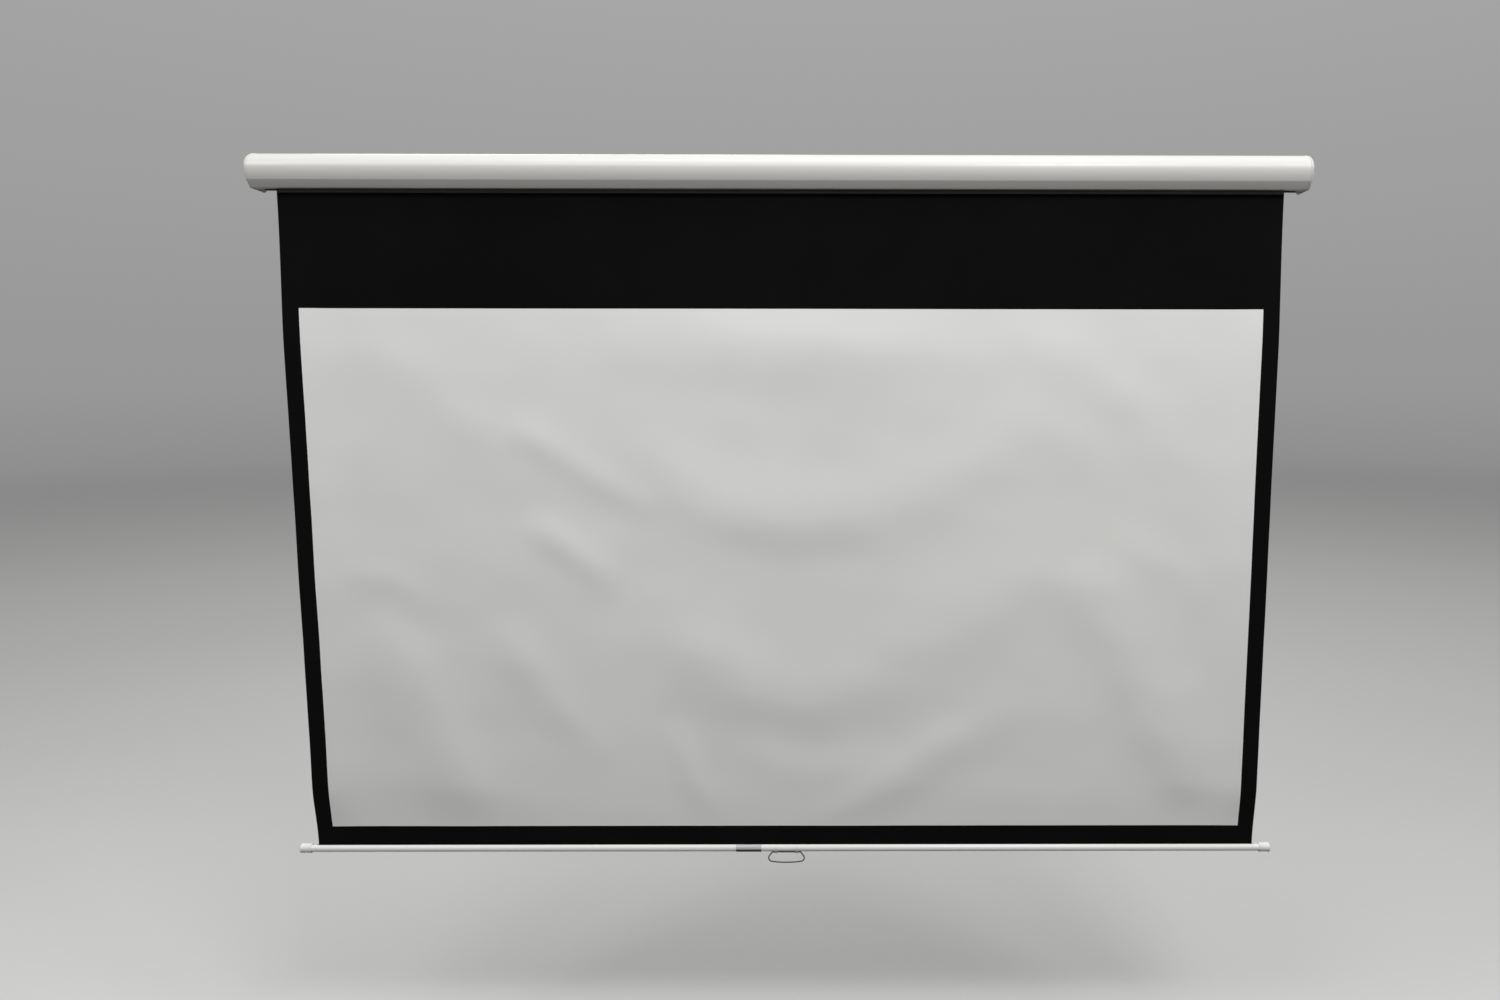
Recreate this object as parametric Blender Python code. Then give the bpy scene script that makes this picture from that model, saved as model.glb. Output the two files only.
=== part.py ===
"""Manual pull-down projector screen, wall hung, pulled fully down.

Metres, +Z up, X along the casing (to the right seen from the front), Y towards the wall.
The origin lies on the casing's flat back, which is the wall plane, at the middle of its length.
Sections are written as (y, z) and run along X.
"""

import math

import bmesh
import bpy
from mathutils import Matrix, Vector

for old in list(bpy.data.objects):
    bpy.data.objects.remove(old, do_unlink=True)

# ---------------------------------------------------------------- driving dimensions
GAP = 0.0003  # clearance between touching pieces

CASING_HALF = 1.1950  # outer faces of the end caps
SHELL_HALF = 1.1880  # ends of the casing shell
WALL_T = 0.0013  # shell wall
CASING_TOP = 0.0406
CASING_BOTTOM = -0.0400
ARC_Y, ARC_Z = -0.0412, 0.0030  # centre of the rounded front's ellipse
ARC_A, ARC_B = 0.0510, 0.0376  # its half axes
CREASE = (-0.0866, -0.0235)  # crease between the front and the underside
CHAMFER_FOOT = -0.0740  # where the front chamfer meets the flat bottom
SLOT_FRONT, SLOT_BACK = -0.0655, -0.0455  # the fabric's slot
BACK_CHAMFER = 0.0200  # height of the chamfer up to the flat back
BACK_FOOT = -0.0430  # where that chamfer leaves the lip behind the slot
CHANNEL_LOW, CHANNEL_TOP = 0.0060, 0.0330  # hanging channel in the back
CHANNEL_D = 0.0065
LIP_LOW, LIP_T = 0.0265, 0.0015  # lip that hooks on the wall brackets

CAP_PROUD = 0.0008  # end cap over the shell, at the top and front
CAP_DROP = 0.0006  # end cap below the shell
CAP_TIP = (-0.0275, -0.0414)  # lowest point of the end caps, behind the slot
CAP_ROUND_X, CAP_ROUND_IN = 0.0050, 0.0035
CAP_WALL = 0.0025
CAP_PLUG = 0.0130  # how far the cap's skirt reaches into the shell

FABRIC_Y = -0.0565
FABRIC_HALF = 1.1448
FABRIC_T = 0.0006
VIEW_HALF = 1.1070  # white viewing surface
VIEW_TOP = -0.3050
VIEW_HEIGHT = 1.2454

ROLLER_Y, ROLLER_Z = -0.0353, 0.0010
TUBE_R, TUBE_T = 0.0190, 0.0012
TUBE_HALF = 1.1500
WRAP_R = 0.0206  # outside of the wraps left on the tube
KEY_W, KEY_D = 0.0050, 0.0013  # key groove along the tube

BRACKET_IN, BRACKET_OUT = 1.1640, 1.1660  # roller bracket plates
SPINDLE_R = 0.0040
DISC_R = 0.0080
PAWL_PIVOT = 0.0130  # pawl pins, from the roller's axis
PAWL_LEN = 0.0088

SLAT_Z = -1.6068
SLAT_R, SLAT_T = 0.0090, 0.0010
SLAT_HALF = 1.1640
SLAT_SLOT = 0.0040
CAP_R = 0.0113
CAP_END, CAP_LIP = 1.1870, 1.1610
HEM_R = 0.0030

WIRE_R = 0.0014
BAIL_Z = SLAT_Z - 0.0114  # axis of the bail's top bar
BAIL_TOP_HALF, BAIL_HALF = 0.0330, 0.0437
BAIL_DROP = 0.0270
CLIP_X = 0.0255
CLIP_W = 0.0080

PLATE_X0, PLATE_X1 = -0.1224, -0.0613

WALL_BRACKET_X = 0.7800
WALL_BRACKET_W = 0.0600


# ---------------------------------------------------------------- materials
def material(name, color, roughness, metallic=0.0):
    mat = bpy.data.materials.new(name)
    mat.use_nodes = True
    shader = mat.node_tree.nodes["Principled BSDF"]
    shader.inputs["Base Color"].default_value = (*color, 1.0)
    shader.inputs["Roughness"].default_value = roughness
    shader.inputs["Metallic"].default_value = metallic
    return mat


WHITE_COAT = (0.80, 0.80, 0.78)
CAP_WHITE = (0.78, 0.78, 0.76)
ZINC = (0.56, 0.57, 0.58)
STEEL = (0.42, 0.42, 0.43)


# ---------------------------------------------------------------- building helpers
def finish(name, bm, mat, smooth=30.0):
    """Closes a bmesh into an object at the world origin."""
    bmesh.ops.recalc_face_normals(bm, faces=bm.faces)
    mesh = bpy.data.meshes.new(name)
    bm.to_mesh(mesh)
    bm.free()
    if smooth:
        mesh.shade_smooth()
        mesh.set_sharp_from_angle(angle=math.radians(smooth))
    mesh.materials.append(mat)
    obj = bpy.data.objects.new(name, mesh)
    bpy.context.scene.collection.objects.link(obj)
    return obj


def prism(name, section, x0, x1, mat, smooth=30.0):
    """A closed (y, z) section run along X."""
    bm = bmesh.new()
    face = bm.faces.new([bm.verts.new((x0, y, z)) for y, z in section])
    bm.normal_update()
    made = bmesh.ops.extrude_face_region(bm, geom=[face])
    moved = [v for v in made["geom"] if isinstance(v, bmesh.types.BMVert)]
    bmesh.ops.translate(bm, vec=(x1 - x0, 0, 0), verts=moved)
    return finish(name, bm, mat, smooth)


def lathe(name, profile, centre, mat, steps=32, smooth=30.0):
    """A closed (x, r) profile turned about the X line through centre. Points with r = 0 sit on the axis."""
    bm = bmesh.new()
    cy, cz = centre
    rings = []
    for x, r in profile:
        if r == 0:
            rings.append([bm.verts.new((x, cy, cz))])
            continue
        rings.append(
            [
                bm.verts.new(
                    (
                        x,
                        cy + r * math.cos(2 * math.pi * i / steps),
                        cz + r * math.sin(2 * math.pi * i / steps),
                    )
                )
                for i in range(steps)
            ]
        )
    for a, b in zip(rings, rings[1:] + rings[:1]):
        if len(a) == 1 and len(b) == 1:
            continue
        for i in range(steps):
            j = (i + 1) % steps
            if len(a) == 1:
                bm.faces.new((a[0], b[i], b[j]))
            elif len(b) == 1:
                bm.faces.new((a[i], b[0], a[j]))
            else:
                bm.faces.new((a[i], b[i], b[j], a[j]))
    return finish(name, bm, mat, smooth)


def cylinder_between(name, start, end, radius, steps=16):
    """A plain cylinder used as a cutter."""
    start, end = Vector(start), Vector(end)
    bm = bmesh.new()
    bmesh.ops.create_cone(
        bm,
        cap_ends=True,
        segments=steps,
        radius1=radius,
        radius2=radius,
        depth=(end - start).length,
    )
    turn = Vector((0, 0, 1)).rotation_difference(end - start).to_matrix().to_4x4()
    bmesh.ops.transform(
        bm, matrix=Matrix.Translation((start + end) / 2) @ turn, verts=bm.verts
    )
    return helper(finish(name, bm, CUTTER, 0))


def block(name, low, high, mat, smooth=0.0):
    bm = bmesh.new()
    bmesh.ops.create_cube(bm, size=1.0)
    low, high = Vector(low), Vector(high)
    size = high - low
    bmesh.ops.transform(
        bm,
        matrix=Matrix.Translation((low + high) / 2)
        @ Matrix.Diagonal((size.x, size.y, size.z, 1)),
        verts=bm.verts,
    )
    return finish(name, bm, mat, smooth)


CUTTER = material("cutter", (0.8, 0.1, 0.1), 0.5)


def helper(obj):
    obj.hide_render = True
    obj.display_type = "WIRE"
    return obj


def boolean(obj, other, operation="DIFFERENCE"):
    mod = obj.modifiers.new(other.name, "BOOLEAN")
    mod.object = other
    mod.operation = operation
    mod.solver = "EXACT"
    helper(other)
    return obj


def empty(name, location, parent=None):
    obj = bpy.data.objects.new(name, None)
    obj.empty_display_size = 0.03
    bpy.context.scene.collection.objects.link(obj)
    obj["world"] = list(location)
    obj.location = Vector(location) - (
        Vector(parent["world"]) if parent else Vector((0, 0, 0))
    )
    obj.parent = parent
    return obj


def put(obj, parent, origin=None):
    """Moves the origin of a piece to a point, and parents the piece and its cutters to an empty."""
    origin = Vector(origin if origin else parent["world"])
    if obj.type == "MESH":
        obj.data.transform(Matrix.Translation(-origin))
    else:
        for spline in obj.data.splines:
            for point in spline.points:
                point.co = (*(Vector(point.co[:3]) - origin), 1)
    obj.location = origin - Vector(parent["world"])
    obj.parent = parent
    for mod in obj.modifiers:
        other = getattr(mod, "object", None)
        if other and not other.parent:
            other.parent = parent
            other.location = -Vector(parent["world"])
    return obj


def arc(cy, cz, ry, rz, start, end, steps):
    """Points of an ellipse arc from start to end, in degrees from +Y towards +Z."""
    return [
        (
            cy + ry * math.cos(math.radians(start + (end - start) * i / steps)),
            cz + rz * math.sin(math.radians(start + (end - start) * i / steps)),
        )
        for i in range(steps + 1)
    ]


def circle(cy, cz, r, steps):
    return arc(cy, cz, r, r, 0, 360, steps)[:-1]


# ---------------------------------------------------------------- frames of the moving bodies
casing_frame = empty("casing_frame", (0, 0, 0))
roller_frame = empty("roller_frame", (0, ROLLER_Y, ROLLER_Z), casing_frame)
slat_frame = empty("slat_frame", (0, FABRIC_Y, SLAT_Z), casing_frame)
handle_frame = empty("handle_frame", (0, FABRIC_Y, BAIL_Z), slat_frame)

# ---------------------------------------------------------------- casing shell
def lean(share, inward=0.0):
    """A point of the lower front, which curves in from the ellipse's widest point (0) to the crease (1)."""
    return (
        ARC_Y - ARC_A + (CREASE[0] - ARC_Y + ARC_A) * share * share + inward,
        ARC_Z + (CREASE[1] - ARC_Z) * share,
    )


outer = (
    [(SLOT_FRONT, CASING_BOTTOM), (CHAMFER_FOOT, CASING_BOTTOM)]
    + [
        (CREASE[0] + 0.0008, CREASE[1] - 0.0011),
        (CREASE[0] + 0.0001, CREASE[1] + 0.0001),
    ]
    + [lean(0.92), lean(0.62), lean(0.31)]
    + arc(ARC_Y, ARC_Z, ARC_A, ARC_B, 180, 90, 16)
    + arc(-0.0040, CASING_TOP - 0.0040, 0.0040, 0.0040, 90, 0, 4)
    + [
        (0.0, LIP_LOW),
        (-LIP_T, LIP_LOW),
        (-LIP_T, CHANNEL_TOP),
        (-CHANNEL_D, CHANNEL_TOP),
        (-CHANNEL_D, CHANNEL_LOW),
        (0.0, CHANNEL_LOW),
        (0.0, CASING_BOTTOM + BACK_CHAMFER),
        (BACK_FOOT, CASING_BOTTOM),
        (SLOT_BACK, CASING_BOTTOM),
    ]
)
t = WALL_T
inner = (
    [
        (SLOT_BACK, CASING_BOTTOM + t),
        (BACK_FOOT - 0.0003, CASING_BOTTOM + t),
        (-t, CASING_BOTTOM + BACK_CHAMFER + 0.0008),
        (-t, CHANNEL_LOW - t),
        (-CHANNEL_D - t, CHANNEL_LOW - t),
        (-CHANNEL_D - t, CHANNEL_TOP + t),
        (-t, CHANNEL_TOP + t),
    ]
    + arc(-0.0040, CASING_TOP - 0.0040, 0.0040 - t, 0.0040 - t, 0, 90, 4)
    + arc(ARC_Y, ARC_Z, ARC_A - t, ARC_B - t, 90, 180, 16)
    + [lean(0.31, t), lean(0.62, t)]
    + [
        (CREASE[0] + 0.0013, CREASE[1] + 0.0010),
        (CHAMFER_FOOT + 0.0005, CASING_BOTTOM + t),
        (SLOT_FRONT, CASING_BOTTOM + t),
    ]
)
casing_shell = prism(
    "casing_shell",
    outer + inner,
    -SHELL_HALF,
    SHELL_HALF,
    material("casing_white", WHITE_COAT, 0.38),
)
put(casing_shell, casing_frame)

# ---------------------------------------------------------------- end caps
cap_outline = (
    [(CHAMFER_FOOT - 0.0003, CASING_BOTTOM - CAP_DROP)]
    + [
        (CREASE[0] + 0.0002, CREASE[1] - 0.0016),
        (CREASE[0] - 0.0010, CREASE[1] + 0.0004),
    ]
    + [lean(0.62, -CAP_PROUD), lean(0.31, -CAP_PROUD)]
    + arc(ARC_Y, ARC_Z, ARC_A + CAP_PROUD, ARC_B + CAP_PROUD, 180, 90, 16)
    + arc(-0.0040, CASING_TOP + CAP_PROUD - 0.0040, 0.0040, 0.0040, 90, 0, 4)
    + [
        (0.0, CASING_BOTTOM + BACK_CHAMFER - 0.0010),
        CAP_TIP,
    ]
)
# The skirt that slips into the shell, clear of the hanging channel.
g = WALL_T + 0.0004
skirt_outline = (
    [
        (CHAMFER_FOOT + 0.0008, CASING_BOTTOM + g),
        (CREASE[0] + 0.0018, CREASE[1] + 0.0012),
    ]
    + arc(ARC_Y, ARC_Z, ARC_A - g, ARC_B - g, 180, 90, 12)
    + [
        (-0.0200, CASING_TOP - g),
        (-CHANNEL_D - g - 0.0004, CASING_TOP - g - 0.0060),
        (-CHANNEL_D - g, CHANNEL_LOW - g),
        (-CHANNEL_D - g, -0.0205),
        (BACK_FOOT - 0.0006, CASING_BOTTOM + g),
    ]
)


def toward(section, amount, centre=(-0.0465, -0.0008), half=0.0425):
    k = 1 - amount / half
    return [
        (centre[0] + (y - centre[0]) * k, centre[1] + (z - centre[1]) * k)
        for y, z in section
    ]


BOSSES = [(-0.0500, 0.0268), (-0.0500, -0.0300)]  # screw bosses of a cap
SCREW_R, SCREW_HOLE, SCREW_HEAD = 0.0018, 0.0022, 0.0038


def end_cap(name, side):
    """A domed cap, hollow towards the casing, with a skirt and two screw bosses."""
    base, ends = SHELL_HALF + GAP, CASING_HALF
    stations = [(base, 0.0)] + [
        (
            ends - CAP_ROUND_X + CAP_ROUND_X * math.sin(a),
            CAP_ROUND_IN * (1 - math.cos(a)),
        )
        for a in (math.radians(v) for v in (0, 22.5, 45, 67.5, 90))
    ]
    bm = bmesh.new()
    loops = [
        [bm.verts.new((side * x, y, z)) for y, z in toward(cap_outline, inset)]
        for x, inset in stations
    ]
    for a, b in zip(loops, loops[1:]):
        for i in range(len(a)):
            j = (i + 1) % len(a)
            bm.faces.new((a[i], b[i], b[j], a[j]))
    bm.faces.new(loops[0])
    bm.faces.new(loops[-1])
    cap = finish(name, bm, material(name + "_white", CAP_WHITE, 0.45))
    hollow = prism(
        name + "_hollow",
        toward(cap_outline, 0.0026),
        side * (base - 0.0010),
        side * (ends - CAP_WALL),
        CUTTER,
        0,
    )
    boolean(cap, hollow)
    # A skirt ring, joined to the cap's inside by a shoulder that overlaps both.
    skirt = prism(
        name + "_skirt",
        toward(skirt_outline, 0.0),
        side * (SHELL_HALF - CAP_PLUG),
        side * (ends - CAP_WALL + 0.0005),
        CUTTER,
        0,
    )
    skirt_hole = prism(
        name + "_skirt_hole",
        toward(skirt_outline, 0.0016),
        side * (SHELL_HALF - CAP_PLUG - 0.0050),
        side * (ends - CAP_WALL),
        CUTTER,
        0,
    )
    boolean(cap, skirt, "UNION")
    boolean(cap, skirt_hole)
    for n, (y, z) in enumerate(BOSSES):
        boss = cylinder_between(
            f"{name}_boss_{n}",
            (side * (BRACKET_OUT + GAP), y, z),
            (side * (ends - 0.0012), y, z),
            0.0050,
        )
        boolean(cap, boss, "UNION")
    for n, (y, z) in enumerate(BOSSES):
        hole = cylinder_between(
            f"{name}_hole_{n}",
            (side * (BRACKET_OUT - 0.0020), y, z),
            (side * (ends + 0.0020), y, z),
            SCREW_HOLE,
        )
        sink = cylinder_between(
            f"{name}_sink_{n}",
            (side * (ends - 0.0026), y, z),
            (side * (ends + 0.0020), y, z),
            SCREW_HEAD + 0.0004,
        )
        boolean(cap, hole)
        boolean(cap, sink)
    return put(cap, casing_frame, (side * SHELL_HALF, ROLLER_Y, ROLLER_Z))


def pan_screw(name, side, y, z):
    """A pan-head screw, head outwards, with a cross recess left to the surface finish."""
    head = CASING_HALF - 0.0026 + GAP
    profile = [
        (head + 0.0022, 0),
        (head + 0.0022, SCREW_HEAD - 0.0016),
        (head + 0.0017, SCREW_HEAD - 0.0006),
        (head + 0.0008, SCREW_HEAD),
        (head, SCREW_HEAD),
        (head, SCREW_R),
        (BRACKET_IN - 0.0030, SCREW_R),
        (BRACKET_IN - 0.0042, SCREW_R * 0.45),
        (BRACKET_IN - 0.0042, 0),
    ]
    screw = lathe(
        name,
        [(side * x, r) for x, r in profile],
        (y, z),
        material(name + "_zinc", ZINC, 0.35, 1.0),
        16,
    )
    return put(screw, casing_frame, (side * head, y, z))


for word, side in (("left", -1), ("right", 1)):
    end_cap(f"end_cap_{word}", side)
    for place, (y, z) in zip(("upper", "lower"), BOSSES):
        pan_screw(f"end_cap_screw_{word}_{place}", side, y, z)

# ---------------------------------------------------------------- roller brackets
PLATE = [
    (-0.0610, -0.0325),
    (-0.0585, -0.0350),
    (-0.0450, -0.0350),
    (-0.0150, -0.0195),
    (-0.0125, -0.0160),
    (-0.0125, 0.0280),
    (-0.0150, 0.0310),
    (-0.0585, 0.0325),
    (-0.0610, 0.0300),
]


def roller_bracket(name, side):
    plate = prism(
        name,
        PLATE,
        side * BRACKET_IN,
        side * BRACKET_OUT,
        material(name + "_zinc", ZINC, 0.42, 1.0),
    )
    for n, (y, z) in enumerate(BOSSES):
        boolean(
            plate,
            cylinder_between(
                f"{name}_hole_{n}",
                (side * (BRACKET_IN - 0.002), y, z),
                (side * (BRACKET_OUT + 0.002), y, z),
                SCREW_HOLE,
            ),
        )
    if side < 0:
        # A slot that the spindle's flat end stands in.
        slot = block(
            f"{name}_slot",
            (side * (BRACKET_OUT + 0.002), ROLLER_Y - 0.0024, ROLLER_Z - 0.0044),
            (side * (BRACKET_IN - 0.002), ROLLER_Y + 0.0024, ROLLER_Z + 0.0044),
            CUTTER,
        )
        boolean(plate, slot)
    else:
        boolean(
            plate,
            cylinder_between(
                f"{name}_bush_hole",
                (side * (BRACKET_IN - 0.002), ROLLER_Y, ROLLER_Z),
                (side * (BRACKET_OUT + 0.002), ROLLER_Y, ROLLER_Z),
                0.0070,
                24,
            ),
        )
    return put(plate, casing_frame, (side * BRACKET_IN, ROLLER_Y, ROLLER_Z))


roller_bracket("roller_bracket_left", -1)
roller_bracket("roller_bracket_right", 1)

idle_bush = lathe(
    "idle_bush",
    [
        (BRACKET_OUT + 0.0014, 0.0044),
        (BRACKET_OUT + 0.0014, 0.0067),
        (BRACKET_IN - GAP, 0.0067),
        (BRACKET_IN - GAP, 0.0095),
        (BRACKET_IN - 0.0020, 0.0095),
        (BRACKET_IN - 0.0020, 0.0044),
    ],
    (ROLLER_Y, ROLLER_Z),
    material("nylon", (0.74, 0.73, 0.68), 0.5),
    24,
)
put(idle_bush, casing_frame, (BRACKET_IN, ROLLER_Y, ROLLER_Z))

# ---------------------------------------------------------------- wall brackets
CLEAT_D = 0.0046
cleat_section = [
    (0.0, CHANNEL_LOW + 0.0005),
    (0.0, LIP_LOW - 0.0005),
    (-LIP_T - GAP, LIP_LOW - 0.0005),
    (-LIP_T - GAP, CHANNEL_TOP - 0.0012),
    (-LIP_T - GAP - 0.0006, CHANNEL_TOP - 0.0006),
    (-CLEAT_D + 0.0008, CHANNEL_TOP - 0.0006),
    (-CLEAT_D, CHANNEL_TOP - 0.0016),
    (-CLEAT_D, CHANNEL_LOW + 0.0015),
    (-CLEAT_D + 0.0010, CHANNEL_LOW + 0.0005),
]
CLEAT_HOLE_Z = 0.0160


def wall_bracket(name, side):
    x = side * WALL_BRACKET_X
    cleat = prism(
        name,
        cleat_section,
        x - WALL_BRACKET_W / 2,
        x + WALL_BRACKET_W / 2,
        material(name + "_alloy", (0.66, 0.67, 0.68), 0.4, 1.0),
    )
    for n, dx in enumerate((-0.0180, 0.0180)):
        boolean(
            cleat,
            cylinder_between(
                f"{name}_hole_{n}",
                (x + dx, -0.0100, CLEAT_HOLE_Z),
                (x + dx, 0.0050, CLEAT_HOLE_Z),
                0.0025,
            ),
        )
        boolean(
            cleat,
            cylinder_between(
                f"{name}_sink_{n}",
                (x + dx, -0.0100, CLEAT_HOLE_Z),
                (x + dx, -CLEAT_D + 0.0018, CLEAT_HOLE_Z),
                0.0046,
            ),
        )
    return put(cleat, casing_frame, (x, 0, CLEAT_HOLE_Z))


wall_bracket("wall_bracket_left", -1)
wall_bracket("wall_bracket_right", 1)

# ---------------------------------------------------------------- roller
CENTRE = (ROLLER_Y, ROLLER_Z)


def around(r, degrees_):
    a = math.radians(degrees_)
    return (ROLLER_Y + r * math.cos(a), ROLLER_Z + r * math.sin(a))


# The tube's section: a ring broken at the top by a groove pressed inwards.
half_key = math.degrees(math.asin(KEY_W / 2 / TUBE_R))
wall_key = math.degrees(math.asin((KEY_W / 2 + TUBE_T) / (TUBE_R - TUBE_T)))
steps = 28
out_ring = [
    around(TUBE_R, 90 + half_key + (360 - 2 * half_key) * i / steps)
    for i in range(steps + 1)
]
floor = ROLLER_Z + TUBE_R - KEY_D
groove = [(ROLLER_Y + KEY_W / 2, floor), (ROLLER_Y - KEY_W / 2, floor)]
in_ring = [
    around(TUBE_R - TUBE_T, 90 - wall_key - (360 - 2 * wall_key) * i / steps)
    for i in range(steps + 1)
]
under = [
    (ROLLER_Y - KEY_W / 2 - TUBE_T, floor - TUBE_T),
    (ROLLER_Y + KEY_W / 2 + TUBE_T, floor - TUBE_T),
]


def grooved_tube(name, mat):
    """Rings of the outside and the inside, closed by annular ends."""
    outside, inside = out_ring + groove, in_ring[::-1] + under[::-1]
    # Both lists start just past the groove's left side and run the same way round.
    inside = in_ring[::-1]
    inside = inside + [under[1], under[0]]
    bm = bmesh.new()
    ends = []
    for x in (-TUBE_HALF, TUBE_HALF):
        ends.append(
            (
                [bm.verts.new((x, y, z)) for y, z in outside],
                [bm.verts.new((x, y, z)) for y, z in inside],
            )
        )
    n = len(outside)
    for i in range(n):
        j = (i + 1) % n
        bm.faces.new((ends[0][0][i], ends[1][0][i], ends[1][0][j], ends[0][0][j]))
        bm.faces.new((ends[0][1][j], ends[1][1][j], ends[1][1][i], ends[0][1][i]))
        for a, b in ends:
            bm.faces.new((a[i], a[j], b[j], b[i]))
    return finish(name, bm, mat)


roller_tube = grooved_tube("roller_tube", material("roller_steel", STEEL, 0.4, 1.0))
put(roller_tube, roller_frame)

spline_top = ROLLER_Z + math.sqrt(TUBE_R**2 - (KEY_W / 2) ** 2) - 0.0001
roller_spline = prism(
    "roller_spline",
    [
        (ROLLER_Y - KEY_W / 2 + GAP, floor + GAP),
        (ROLLER_Y + KEY_W / 2 - GAP, floor + GAP),
        (ROLLER_Y + KEY_W / 2 - GAP, spline_top),
        (ROLLER_Y - KEY_W / 2 + GAP, spline_top),
    ],
    -FABRIC_HALF,
    FABRIC_HALF,
    material("spline_grey", (0.35, 0.35, 0.34), 0.6),
    0,
)
put(roller_spline, roller_frame)

fabric_roll = lathe(
    "fabric_roll",
    [
        (-FABRIC_HALF, TUBE_R + GAP),
        (-FABRIC_HALF, WRAP_R),
        (FABRIC_HALF, WRAP_R),
        (FABRIC_HALF, TUBE_R + GAP),
    ],
    CENTRE,
    material("rolled_fabric_black", (0.012, 0.012, 0.013), 0.7),
    36,
)
put(fabric_roll, roller_frame)


def keyway(obj, name, x0, x1):
    """Cuts the keyway that a plug slides over the tube's groove with."""
    low = floor - TUBE_T - GAP
    width = KEY_W / 2 + TUBE_T + 0.0008
    return boolean(
        obj,
        block(
            name,
            (x0, ROLLER_Y - width, low),
            (x1, ROLLER_Y + width, low + 0.0040),
            CUTTER,
        ),
    )


PLUG_R = TUBE_R - TUBE_T - GAP
PLUG_FACE = 1.1570  # outer face of the plugs' flanges
FLANGE_IN = TUBE_HALF + GAP

plug_left = lathe(
    "roller_plug_left",
    [
        (-PLUG_FACE, SPINDLE_R + 0.0005),
        (-PLUG_FACE, 0.0184),
        (-PLUG_FACE + 0.0006, TUBE_R),
        (-FLANGE_IN, TUBE_R),
        (-FLANGE_IN, PLUG_R),
        (-1.1220, PLUG_R),
        (-1.1200, PLUG_R - 0.0012),
        (-1.1200, SPINDLE_R + 0.0005),
    ],
    CENTRE,
    material("plug_nylon_left", (0.08, 0.08, 0.085), 0.55),
    26,
)
keyway(plug_left, "plug_left_keyway", -FLANGE_IN, -1.1100)

plug_right = lathe(
    "roller_plug_right",
    [
        (PLUG_FACE, SPINDLE_R + 0.0003),
        (PLUG_FACE, 0.0184),
        (PLUG_FACE - 0.0006, TUBE_R),
        (FLANGE_IN, TUBE_R),
        (FLANGE_IN, PLUG_R),
        (1.1220, PLUG_R),
        (1.1200, PLUG_R - 0.0012),
        (1.1200, SPINDLE_R + 0.0003),
    ],
    CENTRE,
    material("plug_nylon_right", (0.08, 0.08, 0.085), 0.55),
    26,
)
keyway(plug_right, "plug_right_keyway", FLANGE_IN, 1.1100)
put(plug_right, roller_frame, (PLUG_FACE, *CENTRE))

idle_pin = lathe(
    "idle_pin",
    [
        (1.1182, 0),
        (1.1182, SPINDLE_R - 0.0006),
        (1.1190, SPINDLE_R),
        (1.1700, SPINDLE_R),
        (1.1710, SPINDLE_R - 0.0008),
        (1.1710, 0),
    ],
    CENTRE,
    material("idle_pin_steel", STEEL, 0.3, 1.0),
    20,
)
put(idle_pin, roller_frame, (PLUG_FACE, *CENTRE))

# ---------------------------------------------------------------- spring motor
SPINDLE_END = -0.8560
spindle = lathe(
    "spring_spindle",
    [
        (-1.1690, 0),
        (-1.1690, SPINDLE_R),
        (SPINDLE_END - 0.0008, SPINDLE_R),
        (SPINDLE_END, SPINDLE_R - 0.0008),
        (SPINDLE_END, 0),
    ],
    CENTRE,
    material("spindle_steel", STEEL, 0.32, 1.0),
    20,
)
for word, sign in (("front", -1), ("back", 1)):
    flat_cut = block(
        f"spindle_flat_{word}",
        (-1.1720, ROLLER_Y + sign * 0.0020 - (0.0100 if sign < 0 else 0.0), -0.0100),
        (-1.1634, ROLLER_Y + sign * 0.0020 + (0.0 if sign < 0 else 0.0100), 0.0120),
        CUTTER,
    )
    boolean(spindle, flat_cut)
put(spindle, casing_frame, (-1.1690, *CENTRE))

DISC_X0, DISC_X1 = -1.1620, -1.1582


def ratchet_section(notches=2, depth=0.0018, steps=30):
    """A disc outline with square-backed notches that a pawl can drop in."""
    points = []
    for i in range(steps):
        a = 360 * i / steps
        r = DISC_R
        for n in range(notches):
            from_notch = (a - 360 * n / notches - 40) % 360
            if from_notch < 24:
                r = DISC_R - depth * (1 - from_notch / 24)
        points.append(around(r, a))
    return points


def ring_prism(name, outside, hole, x0, x1, mat, smooth=30.0):
    """A plate along X whose outline and hole have the same number of points."""
    bm = bmesh.new()
    ends = [
        (
            [bm.verts.new((x, y, z)) for y, z in outside],
            [bm.verts.new((x, y, z)) for y, z in hole],
        )
        for x in (x0, x1)
    ]
    n = len(outside)
    for i in range(n):
        j = (i + 1) % n
        bm.faces.new((ends[0][0][i], ends[1][0][i], ends[1][0][j], ends[0][0][j]))
        bm.faces.new((ends[0][1][j], ends[1][1][j], ends[1][1][i], ends[0][1][i]))
        for a, b in ends:
            bm.faces.new((a[i], a[j], b[j], b[i]))
    return finish(name, bm, mat, smooth)


disc = ring_prism(
    "ratchet_disc",
    ratchet_section(),
    [around(SPINDLE_R + GAP, 12 * i) for i in range(30)],
    DISC_X0,
    DISC_X1,
    material("ratchet_zinc", ZINC, 0.35, 1.0),
)
put(disc, casing_frame, (DISC_X1, *CENTRE))

PAWL_PIN_R = 0.0013
PAWL_X0, PAWL_X1 = -1.1616, -1.1586


def turned(point, degrees_):
    """A (y, z) point about the roller's axis, turned by an angle."""
    a = math.radians(degrees_)
    y, z = point
    return (
        ROLLER_Y + y * math.cos(a) - z * math.sin(a),
        ROLLER_Z + y * math.sin(a) + z * math.cos(a),
    )


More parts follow.
